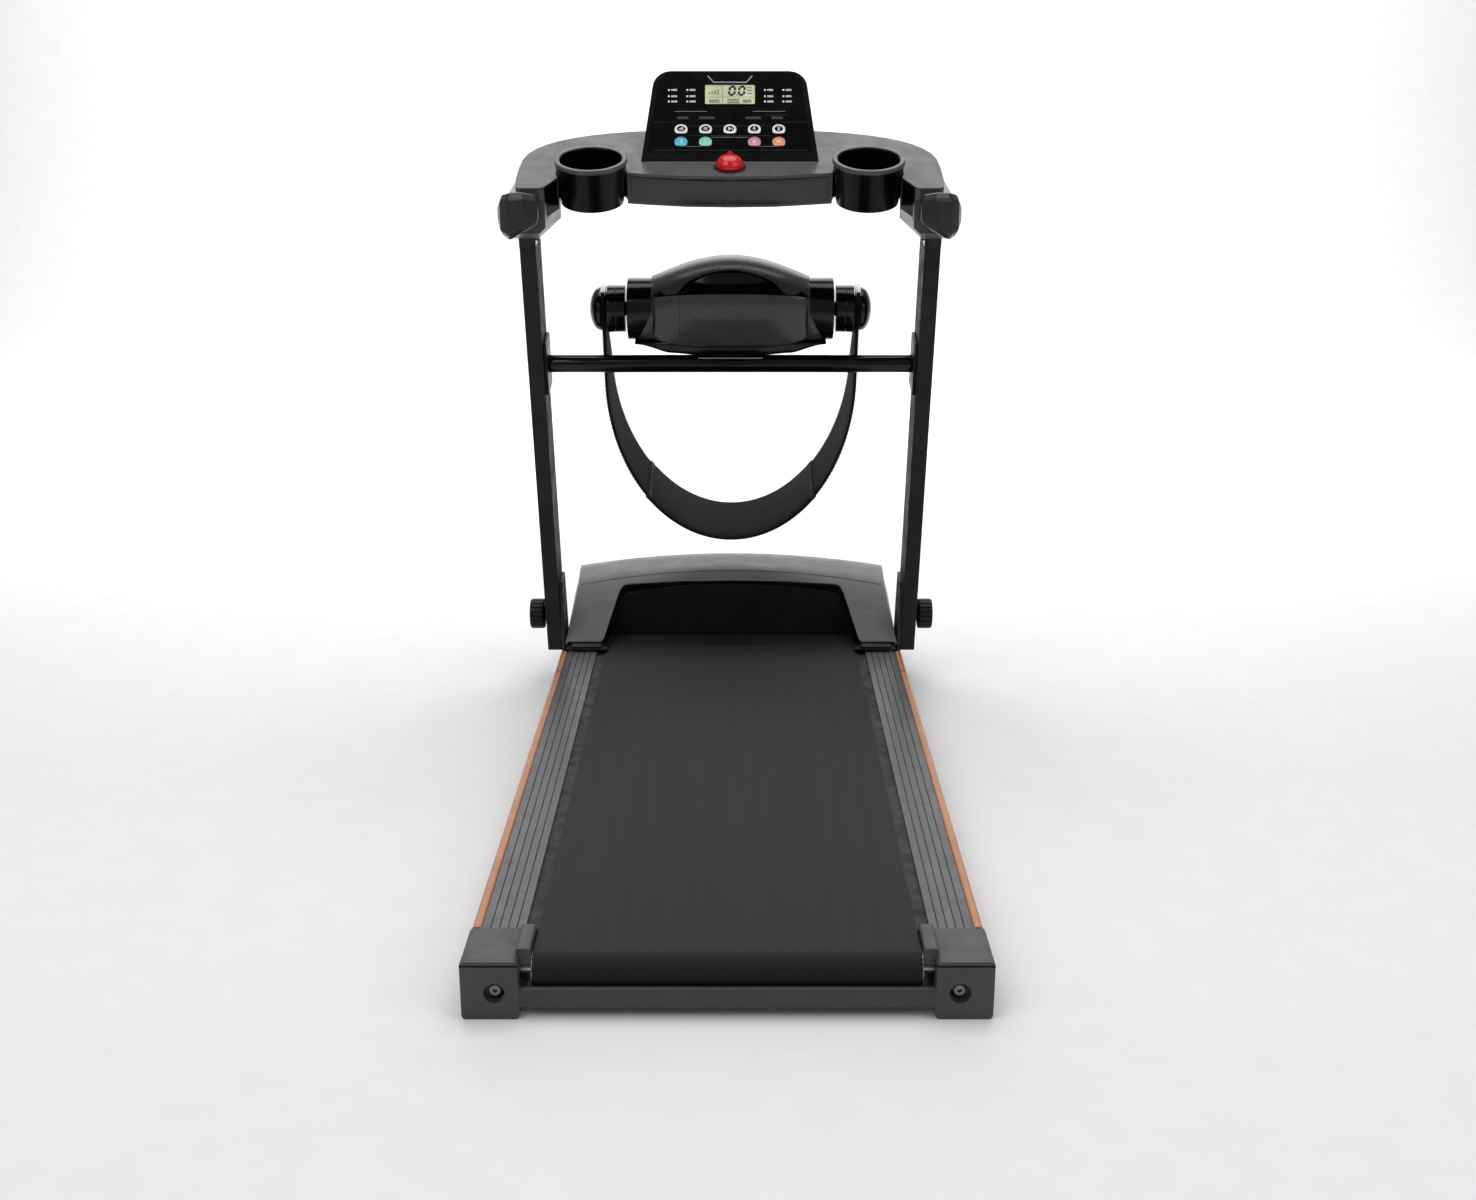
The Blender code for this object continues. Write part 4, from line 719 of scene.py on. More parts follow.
def build_cross_tube():
    """Round tube between the uprights, its end plates, and on each upright a bolt and a gloss black band
    that paints its shade below the socket.
    """
    reach = 0.3200
    lathe_piece("cross_bar", [(-reach, 0.0), (-reach, 0.0155), (reach, 0.0155), (reach, 0.0)],
                (0.0, TUBE_DEPTH, TUBE_UP), MAST, FINISH["gloss"], "mast", "gloss_black", 0.0004,
                replaced=("cross_tube",))
    for side, sign in SIDES:
        low, high = sorted((sign * 0.3167, sign * 0.3222))
        plate = box_outline((0.0060, TUBE_UP - 0.0480), (0.0690, TUBE_UP + 0.0480), 0.006)
        slab_piece("cross_bar_plate_" + side, plate, low, high, 0.0012, "x", MAST, FINISH["black"], "mast")
        bolt = [(0.3215, 0.0), (0.3215, 0.0058), (0.3178, 0.0058), (0.3165, 0.0)]
        bolt = [(sign * x, radius) for x, radius in bolt]
        lathe_piece("upright_bolt_" + side, bolt, (0.0, 0.0150, 0.8050), MAST, FINISH["black"], "mast",
                    "black_plastic", 0.0010, steps=36)
        # painted shade: a gloss black band round the upright where it lies in shade below its socket
        low, high = sorted((sign * 0.3220, sign * 0.3500))
        shade_band = box_outline((low, -0.0005), (high, 0.0755), 0.0015)
        slab_piece("upright_shade_band_" + side, shade_band, 0.7930, 0.8300, 0.0008, "z", MAST, FINISH["gloss"],
                   "mast")


def barrel(x, half, edge, middle, bulge):
    """Radius of a barrel at x: the edge radius at its ends and the middle radius at x = 0."""
    return edge + (middle - edge) * np.maximum(0.0, 1.0 - (x / half) ** 2) ** bulge


def flattened(angle):
    """Share of the full radius left at an angle.

    It is 1.03 times a smooth minimum (power 8) of 1 and 0.92 divided by the cosine of the angle.
    """
    return ((0.92 / np.cos(angle)) ** -8.0 + 1.0) ** (-1 / 8.0) * 1.03


def wrapped(radius, x, angle):
    """Points round the massager's axis at a radius and an angle above level, on the walker's side."""
    return np.stack([x, MASSAGE_DEPTH - radius * np.cos(angle), MASSAGE_UP + radius * np.sin(angle)], -1)


MASSAGE_CENTRE = (0.0, MASSAGE_DEPTH, MASSAGE_UP)
FRONT_HALF = 0.1337


def front_radius(x, angle):
    """Outside of the front shell: a barrel of 78.5 mm whose front is flattened."""
    return barrel(x, FRONT_HALF, HOUSING_RADIUS + 0.0035, 0.0785, 0.6) * flattened(angle)


def build_massager_body():
    """Turned housing, barrel-shaped front shell and the recessed band above it."""
    edge, end = HOUSING_RADIUS, 0.1785
    lathe_piece("massager_housing", [(-end, 0.0), (-end, edge), (end, edge), (end, 0.0)], MASSAGE_CENTRE,
                MAST, FINISH["gloss"], "mast", "gloss_black", 0.0018, replaced=("massage_housing",))

    x, angle = np.meshgrid(np.linspace(-FRONT_HALF, FRONT_HALF, 81), np.radians(np.linspace(-38, 39, 33)))
    radius = front_radius(x, angle)
    sheet_piece("massager_front", wrapped(radius, x, angle), wrapped(radius - 0.0035, x, angle), MAST,
                FINISH["satin"], "mast", ("massage_shell_front",))

    # the band is a lip above the front shell that dips in under the cap
    share = np.linspace(0, 1, 25)[:, None]
    across = np.linspace(-0.1350, 0.1350, 81)[None]
    x = across + 0 * share
    angle = np.radians(39.5 + 34.5 * share) + 0 * across
    top = barrel(x, 0.1370, edge + 0.0030, 0.0925, 1.2)
    dip = np.sin(np.clip(share * 1.25, 0, 1) * pi) * 0.0070 * np.clip(1 - (x / 0.120) ** 2, 0, 1)
    radius = (barrel(x, 0.1350, edge + 0.0030, 0.0780, 0.6) * (1 - share) + (top - 0.0050) * share) - dip
    sheet_piece("massager_band", wrapped(radius, x, angle), wrapped(radius - 0.0025, x, angle), MAST,
                FINISH["gloss"], "mast")


def build_massager_cap():
    """Top cap: a visor in the middle, a tab that reaches down at each end, and the two end flanges."""
    edge = HOUSING_RADIUS
    rows = np.linspace(0, 1, 33)[:, None]
    across = np.linspace(-1, 1, 121)[None]
    visor = np.maximum(67.0 - 10.0 * (across / 0.52) ** 2, 40.0)
    tab = smooth_step(np.abs(across), 0.52, 0.72)
    front = visor * (1 - tab) + 41.0 * tab
    angle = np.radians(front + (139.0 - front) * rows)
    x = 0.1365 * across + 0 * rows
    radius = barrel(x, 0.1375, edge + 0.0032, 0.0925, 1.2)
    sheet_piece("massager_cap", wrapped(radius, x, angle), wrapped(radius - 0.0030, x, angle), MAST,
                FINISH["cap_grey"], "mast", ("massage_shell_top",))

    for side, sign in SIDES:
        # curved flange between the front shell and the housing
        angle = np.radians(np.linspace(-70, 38, 49))[:, None]
        share = np.linspace(0, 1, 5)[None]
        reach = 0.0030 + 0.0300 * smooth_step(-np.degrees(angle), -30, 75)
        x = sign * (0.1330 + reach * share)
        radius = edge + 0.0042 - 0.0030 * share ** 2 + 0 * angle
        sheet_piece("massager_flange_" + side, wrapped(radius, x, angle + 0 * share),
                    wrapped(0 * radius + edge - 0.0010, x, angle + 0 * share), MAST, FINISH["cap_grey"],
                    "mast")


def build_massager_base():
    """Rounded slab whose floor rises and whose front draws back towards its ends, and its bracket.

    Each section is a superellipse of power 3.
    """
    x = np.linspace(-0.1660, 0.1660, 85)
    share = np.abs(x) / 0.1660
    floor = 0.5830 + 0.0190 * smooth_step(share, 0.62, 1.0) + 0.0025 * smooth_step(share, 0.0, 0.6)
    nose = 0.0180 + 0.0170 * smooth_step(share, 0.15, 0.85)
    rear = 0.1150 - 0.0150 * smooth_step(share, 0.3, 1.0)
    roof = 0.6180 - 0.0080 * smooth_step(share, 0.5, 1.0)
    turn = np.linspace(0, 2 * pi, 48, endpoint=False)
    wide, tall = np.cos(turn), np.sin(turn)
    square = (np.abs(wide) ** 3.0 + np.abs(tall) ** 3.0) ** (-1 / 3.0)
    depth = (nose + rear)[:, None] / 2 + ((rear - nose)[:, None] / 2) * (wide * square)[None]
    up = (floor + roof)[:, None] / 2 + ((roof - floor)[:, None] / 2) * (tall * square)[None]
    points = np.stack([np.repeat(x[:, None], 48, 1), depth, up], -1)
    make_piece("massager_base", put(MAST, points), tube_faces(85, 48), FINISH["gloss"], "mast")
    foot = box_outline((0.0520, 0.5560), (0.0900, 0.6000), 0.006)
    slab_piece("massager_bracket", foot, -0.0600, 0.0600, 0.0020, "x", MAST, FINISH["black"], "mast")


def build_massager_lines():
    """Dark seam of the front shell and a painted highlight: a silver line along the base's lower front edge.
    """
    angle = np.radians(np.linspace(-38, 39, 33))
    seam_x = np.full(angle.shape, -0.0868)
    radius = front_radius(seam_x, angle)
    loop = [wrapped(radius + lift, seam_x + shift, angle)
            for shift, lift in ((-0.0004, -0.001), (-0.0004, 0.0001), (0.0004, 0.0001), (0.0004, -0.001))]
    make_piece("massager_seam", put(MAST, np.stack(loop, 1)), tube_faces(33, 4), FINISH["black"], "mast",
               20.0)
    # painted highlight: a thin silver line on the rounded lower front edge of the glossy base
    line = np.linspace(-0.0560, 0.0560, 41)
    bow = 0.0178 + 0.0003 * (line / 0.056) ** 2
    loop = [np.stack([line, bow + d, np.full(line.shape, 0.5872 + u)], -1)
            for d, u in ((0, -0.0004), (0, 0.0004), (0.004, 0.0004), (0.004, -0.0004))]
    make_piece("massager_highlight_line", put(MAST, np.stack(loop, 1)), tube_faces(41, 4), FINISH["silver_print_and_highlight"],
               "mast", 20.0)


def build_massager_shaft():
    """Turned shaft with a drum, a groove for the strap and an elliptic dome at each end."""
    neck, knob = 0.0122, 0.0405
    half = [(0.1826, neck), (0.1826, knob), (0.1990, knob), (0.1996, knob - 0.0008), (0.2002, knob),
            (0.2142, knob), (0.2142, neck), (0.2250, neck), (0.2250, 0.0375), (0.2270, 0.0372)]
    turn = np.linspace(0.12, pi / 2, 12)
    dome = np.stack([0.2270 + 0.0185 * np.sin(turn), 0.0372 * np.cos(turn)], -1).tolist()
    half = half + dome
    stations = [(-x, r) for x, r in reversed(half)] + half
    lathe_piece("eccentric_shaft", stations, MASSAGE_CENTRE, MAST, FINISH["gloss"], "massage_shaft",
                "gloss_black", 0.0012, replaced=("massage_shaft",))


# ---- strap ----
def strap_path(first, last, count, inset):
    """U path in x and height: straight runs down to the bend, then half an ellipse; inset moves it inwards.

    The parameter runs from 0 at the left top to 1 at the right top; the bend takes 0.15 to 0.85.
    """
    t = np.linspace(first, last, count)
    half, drop = STRAP_HALF - inset, STRAP_DROP - inset
    turn = np.clip((t - 0.15) / 0.70, 0.0, 1.0) * pi
    x = -half * np.cos(turn)
    up = STRAP_BEND_UP - drop * np.sin(turn)
    straight = np.clip(0.15 - t, 0, None) + np.clip(t - 0.85, 0, None)
    return x, up + (STRAP_TOP - STRAP_BEND_UP) * straight / 0.15


def strap_edges(up):
    """Near and far edge of the strap at a height: it narrows towards the knobs."""
    share = smooth_step(up, 0.500, 0.650)
    return 0.0555 + 0.0005 * share, 0.1890 + (0.1060 - 0.1890) * share


def strap_band(name, first, last, count, out, thick, over, finish, crown=0.0, body="massage_belt",
               replaced=()):
    """A band that follows the strap: each section is a rounded bar as wide as the strap plus over each side.

    out is how far its outside stands off the strap's, thick its thickness and crown its swell inwards.
    """
    x_out, up_out = strap_path(first, last, count, -out)
    x_in, up_in = strap_path(first, last, count, thick - out)
    near, far = strap_edges(up_out)
    near, far = near - over, far + over
    turn = np.linspace(0, 2 * pi, 32, endpoint=False)
    wide, deep = np.cos(turn), np.sin(turn)
    power = 8.0
    square = (np.abs(wide) ** power + np.abs(deep) ** 2.4) ** (-1 / power)
    wide, deep = np.clip(wide * square, -1, 1), np.sign(deep) * np.abs(deep) ** 0.5
    swell = crown * (1 - wide ** 2) * (deep > 0)
    share = (1 + deep[None]) / 2
    x = x_out[:, None] * (1 - share) + x_in[:, None] * share
    up = up_out[:, None] * (1 - share) + up_in[:, None] * share
    inward = np.stack([x_in - x_out, up_in - up_out], -1)
    inward /= np.linalg.norm(inward, axis=1, keepdims=True)
    x = x + inward[:, :1] * swell[None]
    up = up + inward[:, 1:] * swell[None]
    depth = (near + far)[:, None] / 2 + ((far - near)[:, None] / 2) * wide[None]
    points = np.stack([x, depth, up], -1)
    piece = make_piece(name, put(MAST, points), tube_faces(count, 32), finish, body, 60.0, replaced)
    cloth_map(piece, points)
    return piece


def cloth_map(piece, points):
    """UV map in metres: U along the strap and V across it, from each vertex's own place."""
    mesh = piece.data
    reach = np.concatenate([[0.0], np.cumsum(np.linalg.norm(np.diff(points[:, 0], axis=0), axis=1))])
    flat = np.stack([np.repeat(reach[:, None], points.shape[1], 1), points[..., 1]], -1).reshape(-1, 2)
    corner = np.empty(len(mesh.loops), np.int32)
    mesh.loops.foreach_get("vertex_index", corner)
    layer = mesh.uv_layers.new(name="cloth")
    if len(mesh.vertices) == len(flat):
        layer.data.foreach_set("uv", flat[corner].astype(np.float32).ravel())


PAD_FIRST, PAD_LAST = 0.15 + 0.70 * 46.5 / 180, 0.85 - 0.70 * 46.5 / 180


def build_strap():
    """Webbing loop, its padded centre with bound ends, stitch rows and the end clips."""
    band = strap_band("strap_loop", 0.0, 1.0, 241, 0.0, STRAP_THICKNESS, 0.0, FINISH["strap"],
                      replaced=("massage_belt",))
    pad = strap_band("strap_pad", PAD_FIRST, PAD_LAST, 161, 0.0010, STRAP_THICKNESS + 0.0026, 0.0035,
                     FINISH["pad"], 0.0022)
    for label, first in (("left", PAD_FIRST), ("right", PAD_LAST)):
        strap_band("strap_pad_binding_" + label, first - 0.0045, first + 0.0045, 15, 0.0016,
                   STRAP_THICKNESS + 0.0040, 0.0042, FINISH["thread"], 0.0010)
    for label, offset in (("near", 0.0045), ("far", -0.0045)):
        stitch_row("strap_stitches_" + label, offset, 0.02, PAD_FIRST - 0.006, PAD_LAST + 0.006, 0.98)
        stitch_row("pad_stitches_" + label, offset * 1.2, PAD_FIRST + 0.008, PAD_LAST - 0.008)
    for side, sign in SIDES:
        outline = box_outline((sign * 0.2204 - 0.0046, 0.0600), (sign * 0.2204 + 0.0046, 0.1030), 0.0015)
        slab_piece("strap_clip_" + side, outline, 0.6845, 0.6925, 0.0008, "z", MAST, FINISH["zinc"],
                   "massage_belt")
    return band


def stitch_row(name, offset, *spans):
    """Short raised threads in a row near one edge, on the inside and the outside of the strap."""
    on_pad = name.startswith("pad")
    points, faces, count = [], [], 0
    turn = np.linspace(0, 2 * pi, 6, endpoint=False)
    for first, last in zip(spans[::2], spans[1::2]):
        steps = int((last - first) / 0.0058)
        starts = first + (last - first) * np.arange(steps) / steps
        proud = (0.0012, 0.0030) if on_pad else (0.0002, 0.0002)
        for inset in (-proud[0], STRAP_THICKNESS + proud[1]):
            ends = np.stack([starts, starts + (last - first) / steps * 0.62], -1)
            x, up = path_at(ends, inset)
            near, far = strap_edges(up)
            depth = (near if offset > 0 else far) + offset
            middle = np.stack([x, depth, up], -1)
            along = middle[:, 1] - middle[:, 0]
            along /= np.linalg.norm(along, axis=1, keepdims=True)
            side = np.array((0.0, 1.0, 0.0))
            third = np.cross(along, side)
            ring = np.cos(turn)[None, :, None] * side + np.sin(turn)[None, :, None] * third[:, None]
            ring = ring * 0.0005
            rings = middle[:, :, None] + ring[:, None]
            number = len(starts)
            base = count + np.arange(number)[:, None, None] * 12
            index = base + np.arange(12).reshape(2, 6)[None]
            following = np.roll(index, -1, 2)
            quads = np.stack([index[:, 0], following[:, 0], following[:, 1], index[:, 1]], -1).reshape(-1, 4)
            faces += quads.tolist() + index[:, 0, ::-1].tolist() + index[:, 1].tolist()
            points.append(rings.reshape(-1, 3))
            count += number * 12
    make_piece(name, put(MAST, np.vstack(points)), faces, FINISH["thread"], "massage_belt")


def path_at(t, inset):
    """strap_path at any parameters."""
    half, drop = STRAP_HALF - inset, STRAP_DROP - inset
    turn = np.clip((t - 0.15) / 0.70, 0.0, 1.0) * pi
    straight = np.clip(0.15 - t, 0, None) + np.clip(t - 0.85, 0, None)
    up = STRAP_BEND_UP - drop * np.sin(turn) + (STRAP_TOP - STRAP_BEND_UP) * straight / 0.15
    return -half * np.cos(turn), up


# ---- console ----
def build_cups():
    """Turned cups with a lighter rim ring."""
    for side, sign in SIDES:
        centre = (sign * 0.2188, 0.0120, 0.0179)
        stations = [(-0.0660, 0.0), (-0.0660, 0.0500), (-0.0020, 0.0560), (-0.0020, 0.0570),
                    (0.0030, 0.0572), (0.0040, 0.0560), (0.0040, 0.0500), (0.0025, 0.0486),
                    (-0.0560, 0.0462), (-0.0620, 0.0430), (-0.0625, 0.0)]
        lathe_piece("cup_" + side, stations, centre, TRAY, FINISH["shell"], "mast", "gloss_black", 0.0009,
                    axis="z", steps=128, replaced=("cup_holder_" + side,))
        ring = [(0.0034, 0.0498), (0.0046, 0.0506), (0.0048, 0.0530), (0.0046, 0.0562), (0.0030, 0.0574),
                (-0.0010, 0.0573)]
        turn = np.linspace(0, 2 * pi, 129)[:, None]
        profile = np.array(ring)
        grids = []
        for sink in (0.0, 0.0010):
            radius = profile[None, :, 1] - sink * 0.3
            rise = centre[2] + profile[None, :, 0] - sink + 0 * turn
            x, depth = centre[0] + radius * np.cos(turn), centre[1] + radius * np.sin(turn)
            grids.append(np.stack([x, depth, rise], -1))
        sheet_piece("cup_rim_" + side, grids[0], grids[1], TRAY, FINISH["rim"], "mast")


TRAY_EDGE_X = (-0.1700, -0.1300, -0.0700, 0.0, 0.0700, 0.1300, 0.1700)
TRAY_EDGE_DEPTH = (0.0110, 0.0040, -0.0045, -0.0070, -0.0045, 0.0040, 0.0110)


def build_fascia():
    """Glossy strip on the tray's near face between the cups, with a fine dark groove above it."""
    x = np.linspace(-0.158, 0.158, 61)
    edge = curve_through(x, TRAY_EDGE_X, TRAY_EDGE_DEPTH)
    for name, top, bottom, proud, finish in (("tray_fascia", -0.0080, -0.0470, 0.0011, "fascia"),
                                             ("tray_groove", -0.0052, -0.0072, 0.0006, "gloss")):
        v = np.linspace(0, 1, 9)[:, None]
        round_off = proud * (1 - (2 * v - 1) ** 8) * (1 - (x[None] / 0.1585) ** 30)
        up = top + (bottom - top) * v + 0 * x[None]
        outer = np.stack([x[None] + 0 * v, edge[None] - round_off - 0.0002, up], -1)
        inner = np.stack([x[None] + 0 * v, edge[None] + 0.0015 + 0 * v, up], -1)
        sheet_piece(name, outer, inner, TRAY, FINISH[finish], "mast")


def build_arm_linings():
    """Glossy black wall on the inner side of each arm, half a millimetre proud of it."""
    for side, sign in SIDES:
        x, depth = np.array(((0.2878, -0.0500), (0.2798, -0.0325), (0.2720, -0.0155))).T
        up = np.linspace(-0.0500, -0.0022, 4)[:, None]
        flat = 0 * up
        outer = np.stack([sign * (x[None] - 0.0006) + flat, depth[None] + flat, up + 0 * x[None]], -1)
        inner = outer + np.array((sign * 0.0016, 0.0, 0.0))
        sheet_piece("arm_lining_" + side, outer, inner, TRAY, FINISH["shell"], "mast")


def build_key():
    """Dome-shaped pull key with a small cord eye on top."""
    turn = np.linspace(0.0, pi / 2, 14)
    dome = np.stack([0.0030 + 0.0182 * np.sin(turn), 0.0222 * np.cos(turn)], -1).tolist()
    stations = [(-0.0120, 0.0), (-0.0120, 0.0074), (0.0004, 0.0074), (0.0004, 0.0212)] + dome
    lathe_piece("key_dome", stations, (0.0, 0.033, 0.0), TRAY, FINISH["red"], "safety_key", "key_red",
                0.0008, axis="z", steps=96, replaced=("safety_key",))
    turn = np.linspace(-0.35, pi + 0.35, 21)
    section = np.linspace(0, 2 * pi, 10, endpoint=False)
    radius = 0.0042 + 0.0010 * np.cos(section)[None]
    x = radius * np.cos(turn)[:, None]
    up = 0.0208 + radius * np.sin(turn)[:, None]
    depth = 0.033 + 0.0010 * np.sin(section)[None] + 0 * x
    make_piece("key_eye", put(TRAY, np.stack([x, depth, up], -1)), tube_faces(21, 10), FINISH["red"],
               "safety_key")
    seat = [(0.0002, 0.0), (0.0002, 0.0262), (0.0012, 0.0258), (0.0014, 0.0232), (0.0004, 0.0226),
            (0.0003, 0.0)]
    lathe_piece("key_seat", seat, (0.0, 0.033, 0.0), TRAY, FINISH["black"], "mast", "gloss_black", 0.0003,
                axis="z", steps=80)


def bar(centre, half_x, half_y, turn=0.0, lean=0.0):
    """A small rectangle turned about its centre and leaned sideways with height."""
    corners = np.array([(-half_x, -half_y), (half_x, -half_y), (half_x, half_y), (-half_x, half_y)])
    x = corners[:, 0] * cos(turn) - corners[:, 1] * sin(turn)
    y = corners[:, 0] * sin(turn) + corners[:, 1] * cos(turn)
    return np.stack([centre[0] + x + lean * y, centre[1] + y], -1)


SEGMENTS = {"0": "abcdef", "1": "bc", "2": "abged", "3": "abgcd", "4": "fgbc", "5": "afgcd", "8": "abcdefg"}


def digit(symbol, centre, width, height, stroke, lean=0.12):
    """Seven-segment digit: a bar for each lit segment."""
    w, h, s = width / 2 - stroke / 2, height / 2 - stroke / 2, stroke / 2
    long_side, tall_side = w - s * 0.6, h / 2 - s * 0.6
    places = {"a": (0, h, long_side, s), "b": (w, h / 2, s, tall_side), "c": (w, -h / 2, s, tall_side),
              "d": (0, -h, long_side, s), "e": (-w, -h / 2, s, tall_side), "f": (-w, h / 2, s, tall_side),
              "g": (0, 0, long_side, s)}
    marks = []
    for segment in SEGMENTS[symbol]:
        x, y, half_x, half_y = places[segment]
        mark = bar((x, y), half_x, half_y)
        marks.append(np.stack([centre[0] + mark[:, 0] + lean * mark[:, 1], centre[1] + mark[:, 1]], -1))
    return marks


def build_display():
    """Large digits, a row of small marks and thin dividing lines on the window."""
    marks = digit("0", (0.0035, 0.1245), 0.0122, 0.0178, 0.0036)
    marks += digit("0", (0.0190, 0.1245), 0.0122, 0.0178, 0.0036)
    marks += [bar((0.0112, 0.1170), 0.0008, 0.0008)]
    for x in (-0.0020, 0.0030, 0.0080, 0.0130):
        marks += digit("0", (x, 0.1064), 0.0038, 0.0070, 0.0008, 0.05)
    many_slabs("display_digits", marks, -0.0010, -0.0003, PANEL, FINISH["ink"], "mast")
    faint = [bar((-0.0255, 0.1064), 0.0085, 0.0028), bar((0.0275, 0.1064), 0.0070, 0.0028),
             bar((-0.0120, 0.1180), 0.0004, 0.0150), bar((0.0, 0.1135), 0.0380, 0.00025)]
    for i in range(4):
        faint.append(bar((-0.0330 + 0.0046 * i, 0.1200 + 0.0008 * i), 0.0014, 0.0016 + 0.0010 * i))
    faint += [bar((0.0315, 0.1300 - 0.0050 * i), 0.0040, 0.0010) for i in range(3)]
    many_slabs("display_marks", faint, -0.0009, -0.00055, PANEL, FINISH["faint_ink"], "mast")
    frame_outline = box_outline((-0.0422, 0.0991), (0.0422, 0.1368), 0.0020)
    inner = box_outline((-0.0404, 0.1009), (0.0404, 0.1350), 0.0012)
    rings = [put_ring(frame_outline, 96), put_ring(inner, 96)]
    loop = np.stack(rings, 0)
    loop = np.concatenate([loop, loop[:, :1]], 1)
    top = np.concatenate([loop, np.full((*loop.shape[:2], 1), 0.0002)], -1)
    sheet_piece("display_frame", top, top - np.array((0.0, 0.0, 0.0012)), PANEL, FINISH["face"], "mast")


def mark_row(centre, width, height, count):
    """Generic label: a row of small upright bars of uneven width."""
    step = width / count
    return [bar((centre[0] - width / 2 + step * (i + 0.5), centre[1]), step * (0.30 + 0.08 * ((i * 7) % 3)),
                height / 2 * (0.85 + 0.15 * ((i * 5) % 2))) for i in range(count)]


def build_prints():
    """Generic marks printed on the panel: rows of bars, thin lines and one silver trapezoid."""
    white, silver, grey = [], [], []
    for column in (0.0628, 0.0925):
        for row, height in enumerate((0.1256, 0.1146, 0.1054)):
            for sign in (-1.0, 1.0):
                count = 4 + (row + int(column * 100)) % 3
                white += mark_row((sign * column + 0.0022, height), 0.0100, 0.0034, count)
                white.append(ellipse((sign * column - 0.0062, height), 0.0017, 0.0017, 16))
    for sign in (-1.0, 1.0):
        silver.append(bar((sign * 0.0629, 0.0881), 0.0261, 0.00030))
        grey.append(bar((sign * 0.0375, 0.0768), 0.0125, 0.0022))
        grey.append(bar((sign * 0.0760, 0.0768), 0.0090, 0.0022))
        grey.append(bar((sign * 0.1053, 0.0693), 0.0190, 0.00025))
        silver.append(bar((sign * 0.0615, 0.0270), 0.0165, 0.00022))
    grey += [bar((0.0751, 0.0816), 0.0186, 0.00025), bar((0.0, 0.0628), 0.0664, 0.00025),
             bar((0.0, 0.0459), 0.0664, 0.00025), bar((0.0, 0.0205), 0.1240, 0.00030)]
    silver.append(bar((0.0, 0.0430), 0.0300, 0.00025))
    thick = 0.0010
    corners = [(-0.0355, 0.1500), (-0.0265, 0.1392), (0.0265, 0.1392), (0.0355, 0.1500)]
    for a, b in zip(corners, corners[1:]):
        middle = ((a[0] + b[0]) / 2, (a[1] + b[1]) / 2)
        length = np.hypot(b[0] - a[0], b[1] - a[1])
        turn = float(np.arctan2(b[1] - a[1], b[0] - a[0]))
        silver.append(bar(middle, length / 2 + thick * 0.7, thick, turn))
    for name, marks, top, finish in (("white", white, -0.00015, "print"),
                                     ("silver", silver, -0.00020, "silver_print_and_highlight"),
                                     ("grey", grey, -0.00025, "grey_print")):
        many_slabs("panel_" + name + "_marks", marks, -0.0006, top, PANEL, FINISH[finish], "mast")


BUTTONS = (("program", -0.0786, 0.0572, "white"), ("mode", -0.0393, 0.0572, "white"),
           ("start", 0.0, 0.0572, "white"), ("faster", 0.0393, 0.0572, "white"),
           ("slower", 0.0786, 0.0572, "white"), ("speed_low", -0.0786, 0.0353, "blue"),
           ("speed_mid", -0.0393, 0.0353, "mint"), ("speed_high", 0.0393, 0.0353, "pink"),
           ("massage", 0.0786, 0.0353, "orange"))


def glyph(name, x, up):
    """Generic sign of a button as small marks about its centre."""
    def triangle(cx, cy, size, turn):
        """Three points a third of a turn apart."""
        angle = turn + np.array((0.0, 2 * pi / 3, 4 * pi / 3))
        return np.stack([cx + size * np.cos(angle), cy + size * np.sin(angle)], -1)

    if name == "start":
        return [triangle(x - 0.0008, up, 0.0036, 0.0), bar((x + 0.0040, up), 0.0005, 0.0028)]
    if name == "faster":
        return [triangle(x, up + 0.0012, 0.0030, pi / 2), bar((x, up - 0.0026), 0.0028, 0.0005)]
    if name == "slower":
        return [triangle(x, up - 0.0012, 0.0030, -pi / 2), bar((x, up + 0.0026), 0.0028, 0.0005)]
    if name == "program":
        return [bar((x - 0.0030 + 0.0020 * i, up - 0.0012 + 0.0006 * i), 0.0006, 0.0014 + 0.0006 * i)
                for i in range(4)]
    if name == "mode":
        return [bar((x, up + 0.0018 - 0.0018 * i), 0.0032, 0.0005) for i in range(3)]
    if name == "massage":
        return [bar((x + 0.0016 * i, up), 0.0005, 0.0020 + 0.0008 * (i % 2)) for i in (-2, -1, 0, 1, 2)]
    number = {"speed_low": "3", "speed_mid": "5", "speed_high": "8"}[name]
    return digit(number, (x, up), 0.0044, 0.0072, 0.0009, 0.0)


def arched(centre, half_x, half_y):
    """Outline round above and squarer below: an ellipse whose lower half is drawn out to a power of four."""
    turn = np.linspace(0, 2 * pi, 56, endpoint=False)
    wide, tall = np.cos(turn), np.sin(turn)
    square = np.where(tall < 0, (wide ** 4 + tall ** 4) ** -0.25, 1.0)
    x = centre[0] + half_x * np.clip(wide * square, -1, 1)
    return np.stack([x, centre[1] + half_y * tall * square], -1)


